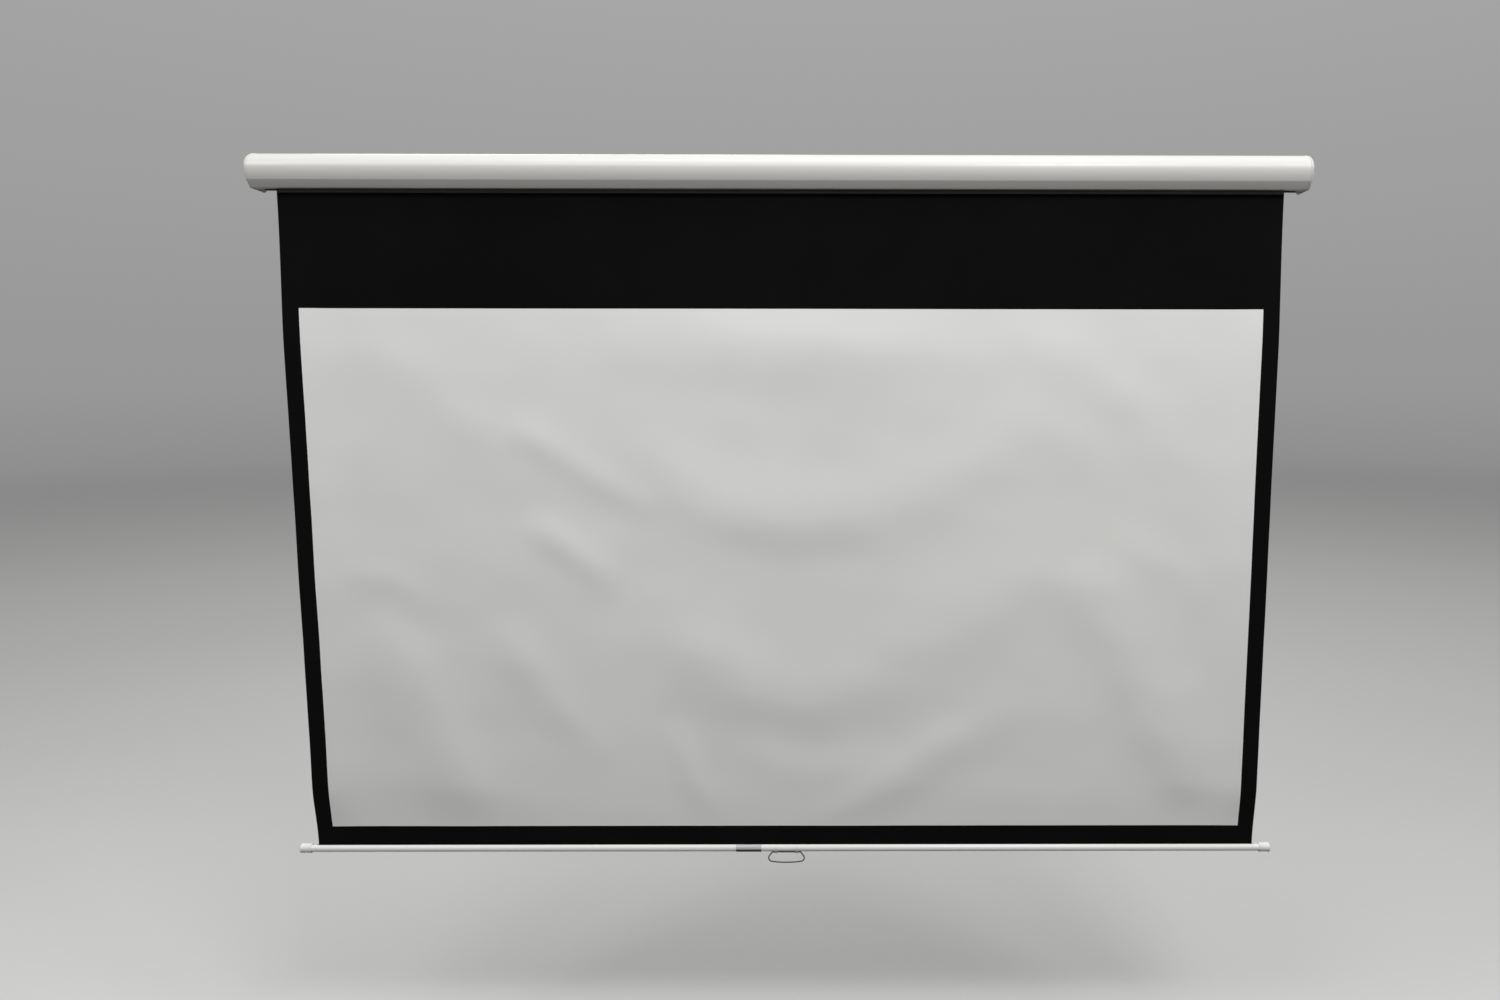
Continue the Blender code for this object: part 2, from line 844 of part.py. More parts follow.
def pawl(letter, turn, lean_degrees):
    """A small lever, round at its pivot, whose nose points round the disc, with its pin.

    It lies as it hangs: the upper one tipped in over the disc, the lower one tipped out.
    """
    lean = math.radians(lean_degrees)
    wide, nose = 0.0026, 0.0013
    body = []
    for i in range(9):
        a = lean + math.radians(90 + 22.5 * i)
        body.append((wide * math.cos(a), PAWL_PIVOT + wide * math.sin(a)))
    tip = (PAWL_LEN * math.cos(lean), PAWL_PIVOT + PAWL_LEN * math.sin(lean))
    for i in range(5):
        a = lean + math.radians(-90 + 45 * i)
        body.append((tip[0] + nose * math.cos(a), tip[1] + nose * math.sin(a)))
    lever = prism(
        f"pawl_{letter}",
        [turned(p, turn) for p in body],
        PAWL_X0,
        PAWL_X1,
        material(f"pawl_{letter}_zinc", ZINC, 0.35, 1.0),
    )
    py, pz = turned((0, PAWL_PIVOT), turn)
    boolean(
        lever,
        cylinder_between(
            f"pawl_{letter}_eye",
            (PAWL_X0 - 0.001, py, pz),
            (PAWL_X1 + 0.001, py, pz),
            PAWL_PIN_R + GAP,
            14,
        ),
    )
    frame = empty(f"pawl_{letter}_frame", (PAWL_X0, py, pz), roller_frame)
    put(lever, frame)
    pin = lathe(
        f"pawl_pin_{letter}",
        [
            (PAWL_X0 - 0.0012, 0),
            (PAWL_X0 - 0.0012, 0.0017),
            (PAWL_X0 - 0.0004, 0.0021),
            (PAWL_X0 - 0.0004, PAWL_PIN_R),
            (-PLUG_FACE + 0.0045, PAWL_PIN_R),
            (-PLUG_FACE + 0.0050, PAWL_PIN_R - 0.0004),
            (-PLUG_FACE + 0.0050, 0),
        ],
        (py, pz),
        material(f"pawl_pin_{letter}_steel", STEEL, 0.3, 1.0),
        14,
    )
    put(pin, roller_frame, (-PLUG_FACE, py, pz))
    boolean(
        plug_left,
        cylinder_between(
            f"plug_left_pin_hole_{letter}",
            (-PLUG_FACE - 0.002, py, pz),
            (-PLUG_FACE + 0.0054, py, pz),
            PAWL_PIN_R + GAP,
            14,
        ),
    )


PAWL_IN, PAWL_OUT = -38, -6
pawl("a", 0, PAWL_IN)
pawl("b", 180, PAWL_OUT)
put(plug_left, roller_frame, (-PLUG_FACE, *CENTRE))

SPRING_X0, SPRING_X1 = -1.1040, -0.8880
SPRING_TURNS, SPRING_R, SPRING_WIRE = 15, 0.0098, 0.0011


def spring_points():
    """A coil round the spindle, whose end turns close up flat."""
    per_turn = 10
    points = []
    for i in range(SPRING_TURNS * per_turn + 1):
        turns = i / per_turn
        s = turns / SPRING_TURNS
        # Ease the pitch in and out, so the first and last turns lie close.
        x = SPRING_X0 + (SPRING_X1 - SPRING_X0) * (
            s - 0.03 * math.sin(2 * math.pi * s)
        )
        y, z = around(SPRING_R, 360 * turns)
        points.append((x, y, z))
    return points


curve = bpy.data.curves.new("torsion_spring", "CURVE")
curve.dimensions = "3D"
curve.bevel_depth = SPRING_WIRE
curve.bevel_resolution = 1
curve.use_fill_caps = True
coil_line = spring_points()
spline = curve.splines.new("POLY")
spline.points.add(len(coil_line) - 1)
for point, co in zip(spline.points, coil_line):
    point.co = (*co, 1)
torsion_spring = bpy.data.objects.new("torsion_spring", curve)
curve.materials.append(material("spring_steel", (0.30, 0.30, 0.31), 0.35, 1.0))
bpy.context.scene.collection.objects.link(torsion_spring)
put(torsion_spring, casing_frame, (SPRING_X0, *CENTRE))

spring_collar = lathe(
    "spring_collar",
    [
        (SPRING_X0 - 0.0015, SPINDLE_R + GAP),
        (SPRING_X0 - 0.0015, 0.0118),
        (SPRING_X0 - 0.0075, 0.0118),
        (SPRING_X0 - 0.0085, 0.0108),
        (SPRING_X0 - 0.0085, SPINDLE_R + GAP),
    ],
    CENTRE,
    material("collar_zinc", ZINC, 0.38, 1.0),
    24,
)
put(spring_collar, casing_frame, (SPRING_X0, *CENTRE))

spring_anchor = lathe(
    "spring_anchor",
    [
        (SPRING_X1 + 0.0020, SPINDLE_R + 0.0005),
        (SPRING_X1 + 0.0020, 0.0116),
        (SPRING_X1 + 0.0100, 0.0116),
        (SPRING_X1 + 0.0100, PLUG_R),
        (SPRING_X1 + 0.0260, PLUG_R),
        (SPRING_X1 + 0.0260, SPINDLE_R + 0.0005),
    ],
    CENTRE,
    material("anchor_nylon", (0.10, 0.10, 0.105), 0.55),
    28,
)
keyway(spring_anchor, "anchor_keyway", SPRING_X1 - 0.004, SPRING_X1 + 0.035)
put(spring_anchor, roller_frame, (SPRING_X1 + 0.0100, *CENTRE))

# ---------------------------------------------------------------- fabric
FABRIC_END = SLAT_Z + 0.0020
fabric = block(
    "screen_fabric",
    (-FABRIC_HALF, FABRIC_Y - FABRIC_T / 2, FABRIC_END),
    (FABRIC_HALF, FABRIC_Y + FABRIC_T / 2, ROLLER_Z),
    material("screen_white", (0.62, 0.63, 0.60), 0.85),
)
put(fabric, casing_frame, (0, FABRIC_Y, ROLLER_Z))

# ---------------------------------------------------------------- slat
SLAT = (FABRIC_Y, SLAT_Z)
slot_angle = math.degrees(math.asin(SLAT_SLOT / 2 / SLAT_R))
slot_inside = math.degrees(math.asin(SLAT_SLOT / 2 / (SLAT_R - SLAT_T)))
slat_section = arc(
    *SLAT, SLAT_R, SLAT_R, 90 + slot_angle, 450 - slot_angle, 30
) + arc(
    *SLAT, SLAT_R - SLAT_T, SLAT_R - SLAT_T, 450 - slot_inside, 90 + slot_inside, 30
)
slat_tube = prism(
    "slat_tube",
    slat_section,
    -SLAT_HALF,
    SLAT_HALF,
    material("slat_white", WHITE_COAT, 0.35),
)
put(slat_tube, slat_frame)

hem_rod = lathe(
    "hem_rod",
    [
        (-FABRIC_HALF + 0.002, 0),
        (-FABRIC_HALF + 0.002, HEM_R),
        (FABRIC_HALF - 0.002, HEM_R),
        (FABRIC_HALF - 0.002, 0),
    ],
    (FABRIC_Y, FABRIC_END - GAP - HEM_R),
    material("hem_steel", STEEL, 0.4, 1.0),
    16,
)
put(hem_rod, slat_frame)


def slat_cap(name, side):
    rounding = [
        (
            CAP_END - 0.0019 * (1 - math.sin(a)),
            CAP_R - 0.0019 * (1 - math.cos(a)),
        )
        for a in (math.radians(v) for v in (90, 67.5, 45, 22.5, 0))
    ]
    profile = (
        [(CAP_END, 0)]
        + rounding
        + [
            (CAP_LIP + 0.0006, CAP_R),
            (CAP_LIP, CAP_R - 0.0006),
            (CAP_LIP, SLAT_R + 0.0004),
            (SLAT_HALF + GAP, SLAT_R + 0.0004),
            (SLAT_HALF + GAP, SLAT_R - SLAT_T - 0.0004),
            (1.1510, SLAT_R - SLAT_T - 0.0004),
            (1.1495, SLAT_R - SLAT_T - 0.0014),
            (1.1495, 0),
        ]
    )
    cap = lathe(
        name,
        [(side * x, r) for x, r in profile],
        SLAT,
        material(name + "_white", CAP_WHITE, 0.45),
        24,
    )
    return put(cap, slat_frame, (side * SLAT_HALF, *SLAT))


slat_cap("slat_cap_left", -1)
slat_cap("slat_cap_right", 1)

# ---------------------------------------------------------------- pull handle
BAND_IN, BAND_OUT = SLAT_R + GAP, SLAT_R + 0.0014


def handle_clip(name, side):
    """A springy band round the lower half of the slat, with an eye for the bail below it."""
    x = side * CLIP_X
    band = prism(
        name,
        arc(*SLAT, BAND_OUT, BAND_OUT, 270 - 118, 270 + 118, 18)
        + arc(*SLAT, BAND_IN, BAND_IN, 270 + 118, 270 - 118, 18),
        x - CLIP_W / 2,
        x + CLIP_W / 2,
        material(name + "_white", CAP_WHITE, 0.45),
    )
    eye = cylinder_between(
        f"{name}_eye",
        (x - CLIP_W / 2, FABRIC_Y, BAIL_Z),
        (x + CLIP_W / 2, FABRIC_Y, BAIL_Z),
        WIRE_R + 0.0015,
        18,
    )
    trim = cylinder_between(
        f"{name}_trim",
        (x - CLIP_W, FABRIC_Y, SLAT_Z),
        (x + CLIP_W, FABRIC_Y, SLAT_Z),
        BAND_IN,
        44,
    )
    hole = cylinder_between(
        f"{name}_hole",
        (x - CLIP_W, FABRIC_Y, BAIL_Z),
        (x + CLIP_W, FABRIC_Y, BAIL_Z),
        WIRE_R + 0.0003,
        18,
    )
    boolean(band, eye, "UNION")
    boolean(band, trim)
    boolean(band, hole)
    return put(band, slat_frame, (x, FABRIC_Y, BAIL_Z))


handle_clip("handle_clip_left", -1)
handle_clip("handle_clip_right", 1)


def bail_line():
    """The bail's closed line: a straight top bar, ends that flare out, round corners, and a bottom bar that sags a little."""

    def corner(cx, cz, r, start, end, n):
        return [
            (
                cx + r * math.cos(math.radians(start + (end - start) * i / n)),
                cz + r * math.sin(math.radians(start + (end - start) * i / n)),
            )
            for i in range(n + 1)
        ]

    low = BAIL_Z - BAIL_DROP
    half = [(0.0, BAIL_Z), (0.0110, BAIL_Z), (0.0215, BAIL_Z), (0.0300, BAIL_Z)]
    half += corner(BAIL_TOP_HALF, BAIL_Z - 0.0030, 0.0030, 90, 30, 3)
    half += corner(BAIL_HALF - 0.0090, BAIL_Z - 0.0155, 0.0090, 28, -75, 7)
    half += [(0.0240, low + 0.0009), (0.0120, low + 0.0002)]
    points = half + [(0.0, low)] + [(-x, z) for x, z in half[:0:-1]]
    return [(x, FABRIC_Y, z) for x, z in points]


wire = bpy.data.curves.new("handle_bail", "CURVE")
wire.dimensions = "3D"
wire.bevel_depth = WIRE_R
wire.bevel_resolution = 3
bail_points = bail_line()
loop = wire.splines.new("POLY")
loop.points.add(len(bail_points) - 1)
for point, co in zip(loop.points, bail_points):
    point.co = (*co, 1)
loop.use_cyclic_u = True
handle_bail = bpy.data.objects.new("handle_bail", wire)
wire.materials.append(material("bail_dark_steel", (0.09, 0.09, 0.09), 0.35, 1.0))
bpy.context.scene.collection.objects.link(handle_bail)
put(handle_bail, handle_frame)

# ---------------------------------------------------------------- nameplate
PLATE_IN, PLATE_OUT = SLAT_R + GAP, SLAT_R + 0.0011
nameplate = prism(
    "slat_nameplate",
    arc(*SLAT, PLATE_OUT, PLATE_OUT, 108, 262, 18)
    + arc(*SLAT, PLATE_IN, PLATE_IN, 262, 108, 18),
    PLATE_X0,
    PLATE_X1,
    material("plate_grey", (0.55, 0.55, 0.54), 0.4),
)
put(nameplate, slat_frame, ((PLATE_X0 + PLATE_X1) / 2, *SLAT))
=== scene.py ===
"""The finish of a manual pull-down projector screen, wall hung, pulled fully down.

Metres, +Z up, X along the casing, Y towards the wall; the origin lies on the casing's flat back.
Sections are written as (y, z) and run along X.
"""

import math

import bmesh
import bpy
import numpy as np
from mathutils import Matrix, Vector


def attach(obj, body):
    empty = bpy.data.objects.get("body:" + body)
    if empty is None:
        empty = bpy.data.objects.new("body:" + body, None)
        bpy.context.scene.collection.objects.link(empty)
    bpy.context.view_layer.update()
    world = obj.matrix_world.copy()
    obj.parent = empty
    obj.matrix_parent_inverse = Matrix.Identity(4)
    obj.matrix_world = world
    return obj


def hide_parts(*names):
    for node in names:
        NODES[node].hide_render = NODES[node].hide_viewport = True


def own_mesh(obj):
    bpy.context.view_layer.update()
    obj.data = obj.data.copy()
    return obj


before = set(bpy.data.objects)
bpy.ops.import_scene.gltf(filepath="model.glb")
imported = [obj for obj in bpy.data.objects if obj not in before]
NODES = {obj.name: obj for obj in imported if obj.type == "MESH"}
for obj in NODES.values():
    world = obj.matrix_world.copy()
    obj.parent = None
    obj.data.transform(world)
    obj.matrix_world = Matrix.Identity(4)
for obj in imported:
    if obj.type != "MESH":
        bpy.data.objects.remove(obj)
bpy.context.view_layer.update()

# ---------------------------------------------------------------- sizes, the construction's own
GAP = 0.0003
CASING_HALF, SHELL_HALF, WALL_T = 1.1950, 1.1880, 0.0013
CASING_TOP, CASING_BOTTOM = 0.0406, -0.0400
ARC_Y, ARC_Z, ARC_A, ARC_B = -0.0412, 0.0030, 0.0510, 0.0376
CREASE = (-0.0866, -0.0235)
CHAMFER_FOOT = -0.0740
SLOT_FRONT, SLOT_BACK = -0.0655, -0.0455
BACK_CHAMFER, BACK_FOOT = 0.0200, -0.0430
CHANNEL_LOW, CHANNEL_TOP, CHANNEL_D = 0.0060, 0.0330, 0.0065
LIP_LOW, LIP_T = 0.0265, 0.0015
CAP_PROUD, CAP_DROP, CAP_WALL, CAP_PLUG = 0.0008, 0.0006, 0.0025, 0.0130
CAP_TIP = (-0.0275, -0.0414)
CAP_ROUND_X, CAP_ROUND_IN = 0.0050, 0.0035
FABRIC_Y, FABRIC_HALF = -0.0565, 1.1448
VIEW_HALF, VIEW_TOP, VIEW_HEIGHT = 1.1070, -0.3050, 1.2454
VIEW_LOW = VIEW_TOP - VIEW_HEIGHT
ROLLER_Y, ROLLER_Z = -0.0353, 0.0010
CENTRE = (ROLLER_Y, ROLLER_Z)
TUBE_R, TUBE_T, TUBE_HALF, WRAP_R = 0.0190, 0.0012, 1.1500, 0.0206
KEY_W, KEY_D = 0.0050, 0.0013
BRACKET_IN, BRACKET_OUT = 1.1640, 1.1660
SPINDLE_R, DISC_R, PAWL_PIVOT, PAWL_LEN = 0.0040, 0.0080, 0.0130, 0.0088
SLAT_Z, SLAT_R, SLAT_T, SLAT_HALF, SLAT_SLOT = -1.6068, 0.0090, 0.0010, 1.1640, 0.0040
SLAT = (FABRIC_Y, SLAT_Z)
CAP_R, CAP_END, CAP_LIP, HEM_R = 0.0113, 1.1870, 1.1610, 0.0030
FABRIC_END = SLAT_Z + 0.0020
WIRE_R, BAIL_Z = 0.0014, SLAT_Z - 0.0114
BAIL_TOP_HALF, BAIL_HALF, BAIL_DROP = 0.0330, 0.0437, 0.0270
CLIP_X, CLIP_W = 0.0255, 0.0080
PLATE_X0, PLATE_X1 = -0.1224, -0.0613
WALL_BRACKET_X, WALL_BRACKET_W, CLEAT_D, CLEAT_HOLE_Z = 0.7800, 0.0600, 0.0046, 0.0160
BOSSES = [(-0.0500, 0.0268), (-0.0500, -0.0300)]
SCREW_R, SCREW_HOLE, SCREW_HEAD = 0.0018, 0.0022, 0.0038


# ---------------------------------------------------------------- materials
class Look:
    """A Principled material. Its patterns lie in the piece's own space, in metres."""

    def __init__(self, name, rough=0.5, metallic=0.0, **sockets):
        self.mat = bpy.data.materials.new(name)
        self.mat.use_nodes = True
        self.tree = self.mat.node_tree
        self.shader = self.tree.nodes["Principled BSDF"]
        self.set(self.shader, "Roughness", rough)
        self.set(self.shader, "Metallic", metallic)
        for key, value in sockets.items():
            self.set(self.shader, key.replace("_", " "), value)
        self.place = self.node("ShaderNodeTexCoord").outputs["Object"]
        self.relief = None

    def node(self, kind, **settings):
        made = self.tree.nodes.new(kind)
        for key, value in settings.items():
            setattr(made, key, value)
        return made

    def set(self, node, socket, value):
        node.inputs[socket].default_value = value

    def link(self, a, b):
        self.tree.links.new(a, b)

    def stretched(self, x, y, z):
        """The piece's coordinates, scaled along each axis."""
        m = self.node("ShaderNodeMapping")
        self.set(m, "Scale", (x, y, z))
        self.link(self.place, m.inputs["Vector"])
        return m.outputs["Vector"]

    def noise(self, scale, detail=2.0, rough=0.5, distortion=0.0, place=None):
        n = self.node("ShaderNodeTexNoise")
        self.set(n, "Scale", scale)
        self.set(n, "Detail", detail)
        self.set(n, "Roughness", rough)
        self.set(n, "Distortion", distortion)
        self.link(place or self.place, n.inputs["Vector"])
        return n.outputs["Fac"]

    def cells(self, scale, feature="F1", place=None, randomness=1.0):
        n = self.node("ShaderNodeTexVoronoi", feature=feature)
        self.set(n, "Scale", scale)
        self.set(n, "Randomness", randomness)
        self.link(place or self.place, n.inputs["Vector"])
        return n.outputs["Distance"]

    def wave(self, scale, axis="X", distortion=0.0, place=None):
        n = self.node("ShaderNodeTexWave", bands_direction=axis)
        self.set(n, "Scale", scale)
        self.set(n, "Distortion", distortion)
        self.link(place or self.place, n.inputs["Vector"])
        return n.outputs["Fac"]

    def ranged(self, value, low, high, to_low=0.0, to_high=1.0, smooth=False):
        n = self.node("ShaderNodeMapRange", clamp=True)
        if smooth:
            n.interpolation_type = "SMOOTHSTEP"
        self.link(value, n.inputs["Value"])
        for i, v in enumerate((low, high, to_low, to_high)):
            n.inputs[1 + i].default_value = v
        return n.outputs["Result"]

    def maths(self, op, a, b=None):
        n = self.node("ShaderNodeMath", operation=op)
        for i, v in enumerate((a, b)):
            if v is None:
                continue
            if isinstance(v, (int, float)):
                n.inputs[i].default_value = v
            else:
                self.link(v, n.inputs[i])
        return n.outputs[0]

    def axis(self, which, place=None):
        n = self.node("ShaderNodeSeparateXYZ")
        self.link(place or self.place, n.inputs[0])
        return n.outputs[which]

    def facing(self, which):
        """One part of the surface's own normal."""
        g = self.node("ShaderNodeNewGeometry")
        n = self.node("ShaderNodeSeparateXYZ")
        self.link(g.outputs["Normal"], n.inputs[0])
        return n.outputs[which]

    def mix(self, share, a, b):
        n = self.node("ShaderNodeMix", data_type="RGBA")
        if isinstance(share, (int, float)):
            n.inputs[0].default_value = share
        else:
            self.link(share, n.inputs[0])
        for i, v in ((6, a), (7, b)):
            if isinstance(v, tuple):
                n.inputs[i].default_value = (*v, 1.0)
            else:
                self.link(v, n.inputs[i])
        return n.outputs[2]

    def colour(self, value):
        self.link(value, self.shader.inputs["Base Color"])

    def roughness(self, value):
        self.link(value, self.shader.inputs["Roughness"])

    def bump(self, height, distance, strength=1.0):
        n = self.node("ShaderNodeBump")
        self.set(n, "Strength", strength)
        self.set(n, "Distance", distance)
        self.link(height, n.inputs["Height"])
        if self.relief is not None:
            self.link(self.relief, n.inputs["Normal"])
        self.relief = n.outputs["Normal"]
        self.link(self.relief, self.shader.inputs["Normal"])


def coated_steel(name, base, rough=0.34):
    """White powder coat: a faint orange peel, a little dust where it faces up, faint handling marks."""
    look = Look(name, rough, IOR=1.5, Coat_Weight=0.12, Coat_Roughness=0.22)
    r, g, b = base
    broad = look.noise(3.1, 3.0, 0.55, place=look.stretched(0.35, 1.0, 1.0))
    tint = look.mix(
        look.ranged(broad, 0.35, 0.68),
        (r * 0.972, g * 0.970, b * 0.962),
        (r, g, b),
    )
    marks = look.noise(26.0, 5.0, 0.62, 0.8, look.stretched(0.5, 1.6, 1.6))
    tint = look.mix(
        look.ranged(marks, 0.60, 0.80, 0.0, 0.16),
        tint,
        (r * 0.86, g * 0.85, b * 0.82),
    )
    dust = look.noise(150.0, 4.0, 0.65)
    settles = look.maths(
        "MULTIPLY",
        look.ranged(look.facing("Z"), 0.70, 0.99, 0.0, 0.16, True),
        look.ranged(dust, 0.30, 0.72, 0.35, 1.0),
    )
    look.colour(look.mix(settles, tint, (0.55, 0.53, 0.49)))
    look.roughness(look.ranged(marks, 0.30, 0.75, rough - 0.04, rough + 0.12))
    look.bump(look.noise(520.0, 2.0, 0.55), 0.00006, 0.55)
    look.bump(look.noise(1900.0, 1.0), 0.00002, 0.35)
    return look.mat


def moulded(name, base, rough=0.46, grain=1500.0, depth=0.00003):
    """Injection-moulded plastic with a fine eroded grain."""
    look = Look(name, rough, IOR=1.49)
    r, g, b = base
    flow = look.noise(18.0, 3.0, 0.6, 1.2)
    tint = look.mix(
        look.ranged(flow, 0.32, 0.70),
        (r * 0.955, g * 0.950, b * 0.935),
        (r, g, b),
    )
    speck = look.noise(420.0, 3.0, 0.6)
    look.colour(
        look.mix(
            look.ranged(speck, 0.62, 0.78, 0.0, 0.10),
            tint,
            (r * 0.72, g * 0.71, b * 0.68),
        )
    )
    look.roughness(look.ranged(flow, 0.3, 0.7, rough - 0.05, rough + 0.07))
    look.bump(look.noise(grain, 2.0, 0.6), depth, 0.6)
    return look.mat


def plated(name, base, rough=0.34, cool=(0.93, 0.98, 1.06)):
    """Zinc plate: a soft blue and straw cast, fine pickling marks."""
    look = Look(name, rough, 1.0)
    r, g, b = base
    cast = look.noise(60.0, 4.0, 0.6, 0.7)
    tint = look.mix(
        look.ranged(cast, 0.34, 0.66),
        (r * cool[0], g * cool[1], min(1.0, b * cool[2])),
        (r * 1.03, g * 0.99, b * 0.90),
    )
    dull = look.noise(300.0, 4.0, 0.7)
    look.colour(
        look.mix(
            look.ranged(dull, 0.56, 0.80, 0.0, 0.35), tint, (r * 0.6, g * 0.6, b * 0.6)
        )
    )
    look.roughness(look.ranged(dull, 0.25, 0.78, rough - 0.07, rough + 0.16))
    look.bump(look.noise(1400.0, 2.0, 0.6), 0.000015, 0.5)
    return look.mat


def galvanised(name, base, rough=0.40):
    """Hot-dip zinc with its spangle, each grain a little lighter or darker."""
    look = Look(name, rough, 1.0)
    r, g, b = base
    grains = look.node("ShaderNodeTexVoronoi", feature="F1")
    look.set(grains, "Scale", 110.0)
    look.link(look.place, grains.inputs["Vector"])
    shade = look.ranged(grains.outputs["Color"], 0.1, 0.9)
    look.colour(
        look.mix(shade, (r * 0.78, g * 0.79, b * 0.80), (r * 1.12, g * 1.12, b * 1.12))
    )
    look.roughness(look.ranged(shade, 0.0, 1.0, rough - 0.08, rough + 0.12))
    look.bump(look.noise(500.0, 3.0, 0.6), 0.00003, 0.4)
    return look.mat


def extruded(name, base, rough=0.32):
    """Mill-finish aluminium with die lines along X."""
    look = Look(name, rough, 1.0)
    r, g, b = base
    lines = look.noise(1.0, 4.0, 0.7, place=look.stretched(2.0, 900.0, 900.0))
    look.colour(
        look.mix(
            look.ranged(lines, 0.3, 0.7),
            (r * 0.82, g * 0.82, b * 0.83),
            (r * 1.05, g * 1.05, b * 1.05),
        )
    )
    look.roughness(look.ranged(lines, 0.3, 0.75, rough - 0.06, rough + 0.14))
    look.bump(lines, 0.00004, 0.5)
    return look.mat


def drawn_wire(name, base, rough=0.33):
    """Dark plated wire: drawing lines, a little of the steel shining through."""
    look = Look(name, rough, 0.92)
    r, g, b = base
    wear = look.noise(90.0, 5.0, 0.7, 0.5)
    lines = look.noise(1.0, 3.0, 0.6, place=look.stretched(240.0, 1500.0, 240.0))
    tint = look.mix(look.ranged(lines, 0.35, 0.7, 0.0, 0.5), (r, g, b), (r * 1.9, g * 1.88, b * 1.84))
    look.colour(look.mix(look.ranged(wear, 0.60, 0.80, 0.0, 0.45), tint, (0.34, 0.33, 0.32)))
    look.roughness(look.ranged(wear, 0.3, 0.8, rough, rough + 0.16))
    look.bump(lines, 0.00002, 0.5)
    return look.mat


def oiled_spring(name, base, rough=0.30):
    look = Look(name, rough, 1.0)
    r, g, b = base
    film = look.noise(120.0, 4.0, 0.65, 0.6)
    look.colour(
        look.mix(look.ranged(film, 0.38, 0.70), (r, g, b), (r * 0.62, g * 0.56, b * 0.48))
    )
    look.roughness(look.ranged(film, 0.3, 0.75, rough - 0.08, rough + 0.18))
    look.bump(look.noise(2200.0, 1.0), 0.00001, 0.4)
    return look.mat


def weave(look, pitch=0.00085, depth=0.00003):
    """The cloth base showing through the coating as a fine square grain."""
    s = 1.0 / pitch
    warp = look.noise(1.0, 1.0, 0.5, place=look.stretched(s, 1.0, s * 0.10))
    weft = look.noise(1.0, 1.0, 0.5, place=look.stretched(s * 0.10, 1.0, s))
    look.bump(look.maths("ADD", warp, weft), depth, 0.5)


def screen_white():
    """Matt white coating: an even embossed grain, faint warm and green blotches."""
    look = Look("screen_matt_white", 0.88, IOR=1.45, Specular_IOR_Level=0.28)
    broad = look.noise(1.5, 4.0, 0.6, 0.4)
    tint = look.mix(look.ranged(broad, 0.36, 0.64), (0.862, 0.867, 0.842), (0.884, 0.884, 0.872))
    cloud = look.noise(5.2, 4.0, 0.6, 0.9)
    tint = look.mix(look.ranged(cloud, 0.50, 0.78, 0.0, 0.30), tint, (0.850, 0.846, 0.830))
    speck = look.noise(260.0, 3.0, 0.7)
    tint = look.mix(look.ranged(speck, 0.66, 0.82, 0.0, 0.22), tint, (0.70, 0.69, 0.65))
    look.colour(tint)
    look.roughness(look.ranged(cloud, 0.3, 0.7, 0.82, 0.93))
    look.bump(look.cells(1500.0, "SMOOTH_F1"), 0.00005, 0.35)
    weave(look, 0.0009, 0.00002)
    return look.mat


def screen_mask():
    """Printed matt black, with the same grain and rubbed along the sheet's edges; just below the slot a grey band of
    painted shade, in the tone of the casing's shaded lip.
    """
    look = Look("screen_matt_black", 0.84, IOR=1.45, Specular_IOR_Level=0.06)
    broad = look.noise(2.6, 4.0, 0.6, 0.5)
    tint = look.mix(look.ranged(broad, 0.34, 0.68), (0.0028, 0.0029, 0.0031), (0.0050, 0.0050, 0.0054))
    lint = look.noise(340.0, 4.0, 0.75)
    tint = look.mix(look.ranged(lint, 0.72, 0.88, 0.0, 0.30), tint, (0.022, 0.022, 0.023))
    edge = look.ranged(
        look.maths("ABSOLUTE", look.axis("X")), FABRIC_HALF - 0.0022, FABRIC_HALF, 0.0, 0.25, True
    )
    tint = look.mix(edge, tint, (0.030, 0.030, 0.031))
    # Painted shade: a grey band just below the slot, in the tone of the casing's shaded lip above it.
    painted_lip_shade = look.ranged(look.axis("Z"), -0.0475, -0.0450, 0.0, 1.0, True)
    look.colour(look.mix(painted_lip_shade, tint, (0.270, 0.250, 0.230)))
    look.roughness(look.ranged(broad, 0.3, 0.7, 0.78, 0.90))
    look.bump(look.cells(1500.0, "SMOOTH_F1"), 0.00005, 0.35)
    weave(look, 0.0009, 0.00002)
    return look.mat


def screen_back():
    """Black backing: the cloth shows more than on the front."""
    look = Look("screen_black_backing", 0.74, IOR=1.45, Specular_IOR_Level=0.28)
    broad = look.noise(2.1, 4.0, 0.6, 0.4)
    tint = look.mix(look.ranged(broad, 0.34, 0.68), (0.016, 0.016, 0.018), (0.026, 0.026, 0.028))
    chalk = look.noise(7.0, 5.0, 0.7, 1.0, look.stretched(0.4, 1.0, 1.0))
    look.colour(look.mix(look.ranged(chalk, 0.62, 0.86, 0.0, 0.30), tint, (0.070, 0.070, 0.072)))
    look.roughness(look.ranged(chalk, 0.3, 0.8, 0.68, 0.82))
    weave(look, 0.0011, 0.00006)
    return look.mat


def satin_plate(name, base, rough):
    """Satin sheet with a brushed grain along X."""
    look = Look(name, rough, 0.25, IOR=1.5)
    r, g, b = base
    brush = look.noise(1.0, 3.0, 0.7, place=look.stretched(60.0, 2600.0, 2600.0))
    look.colour(look.mix(look.ranged(brush, 0.3, 0.72), (r * 0.90, g * 0.90, b * 0.90), (r, g, b)))
    look.roughness(look.ranged(brush, 0.3, 0.75, rough - 0.05, rough + 0.10))
    look.bump(brush, 0.00002, 0.4)
    return look.mat


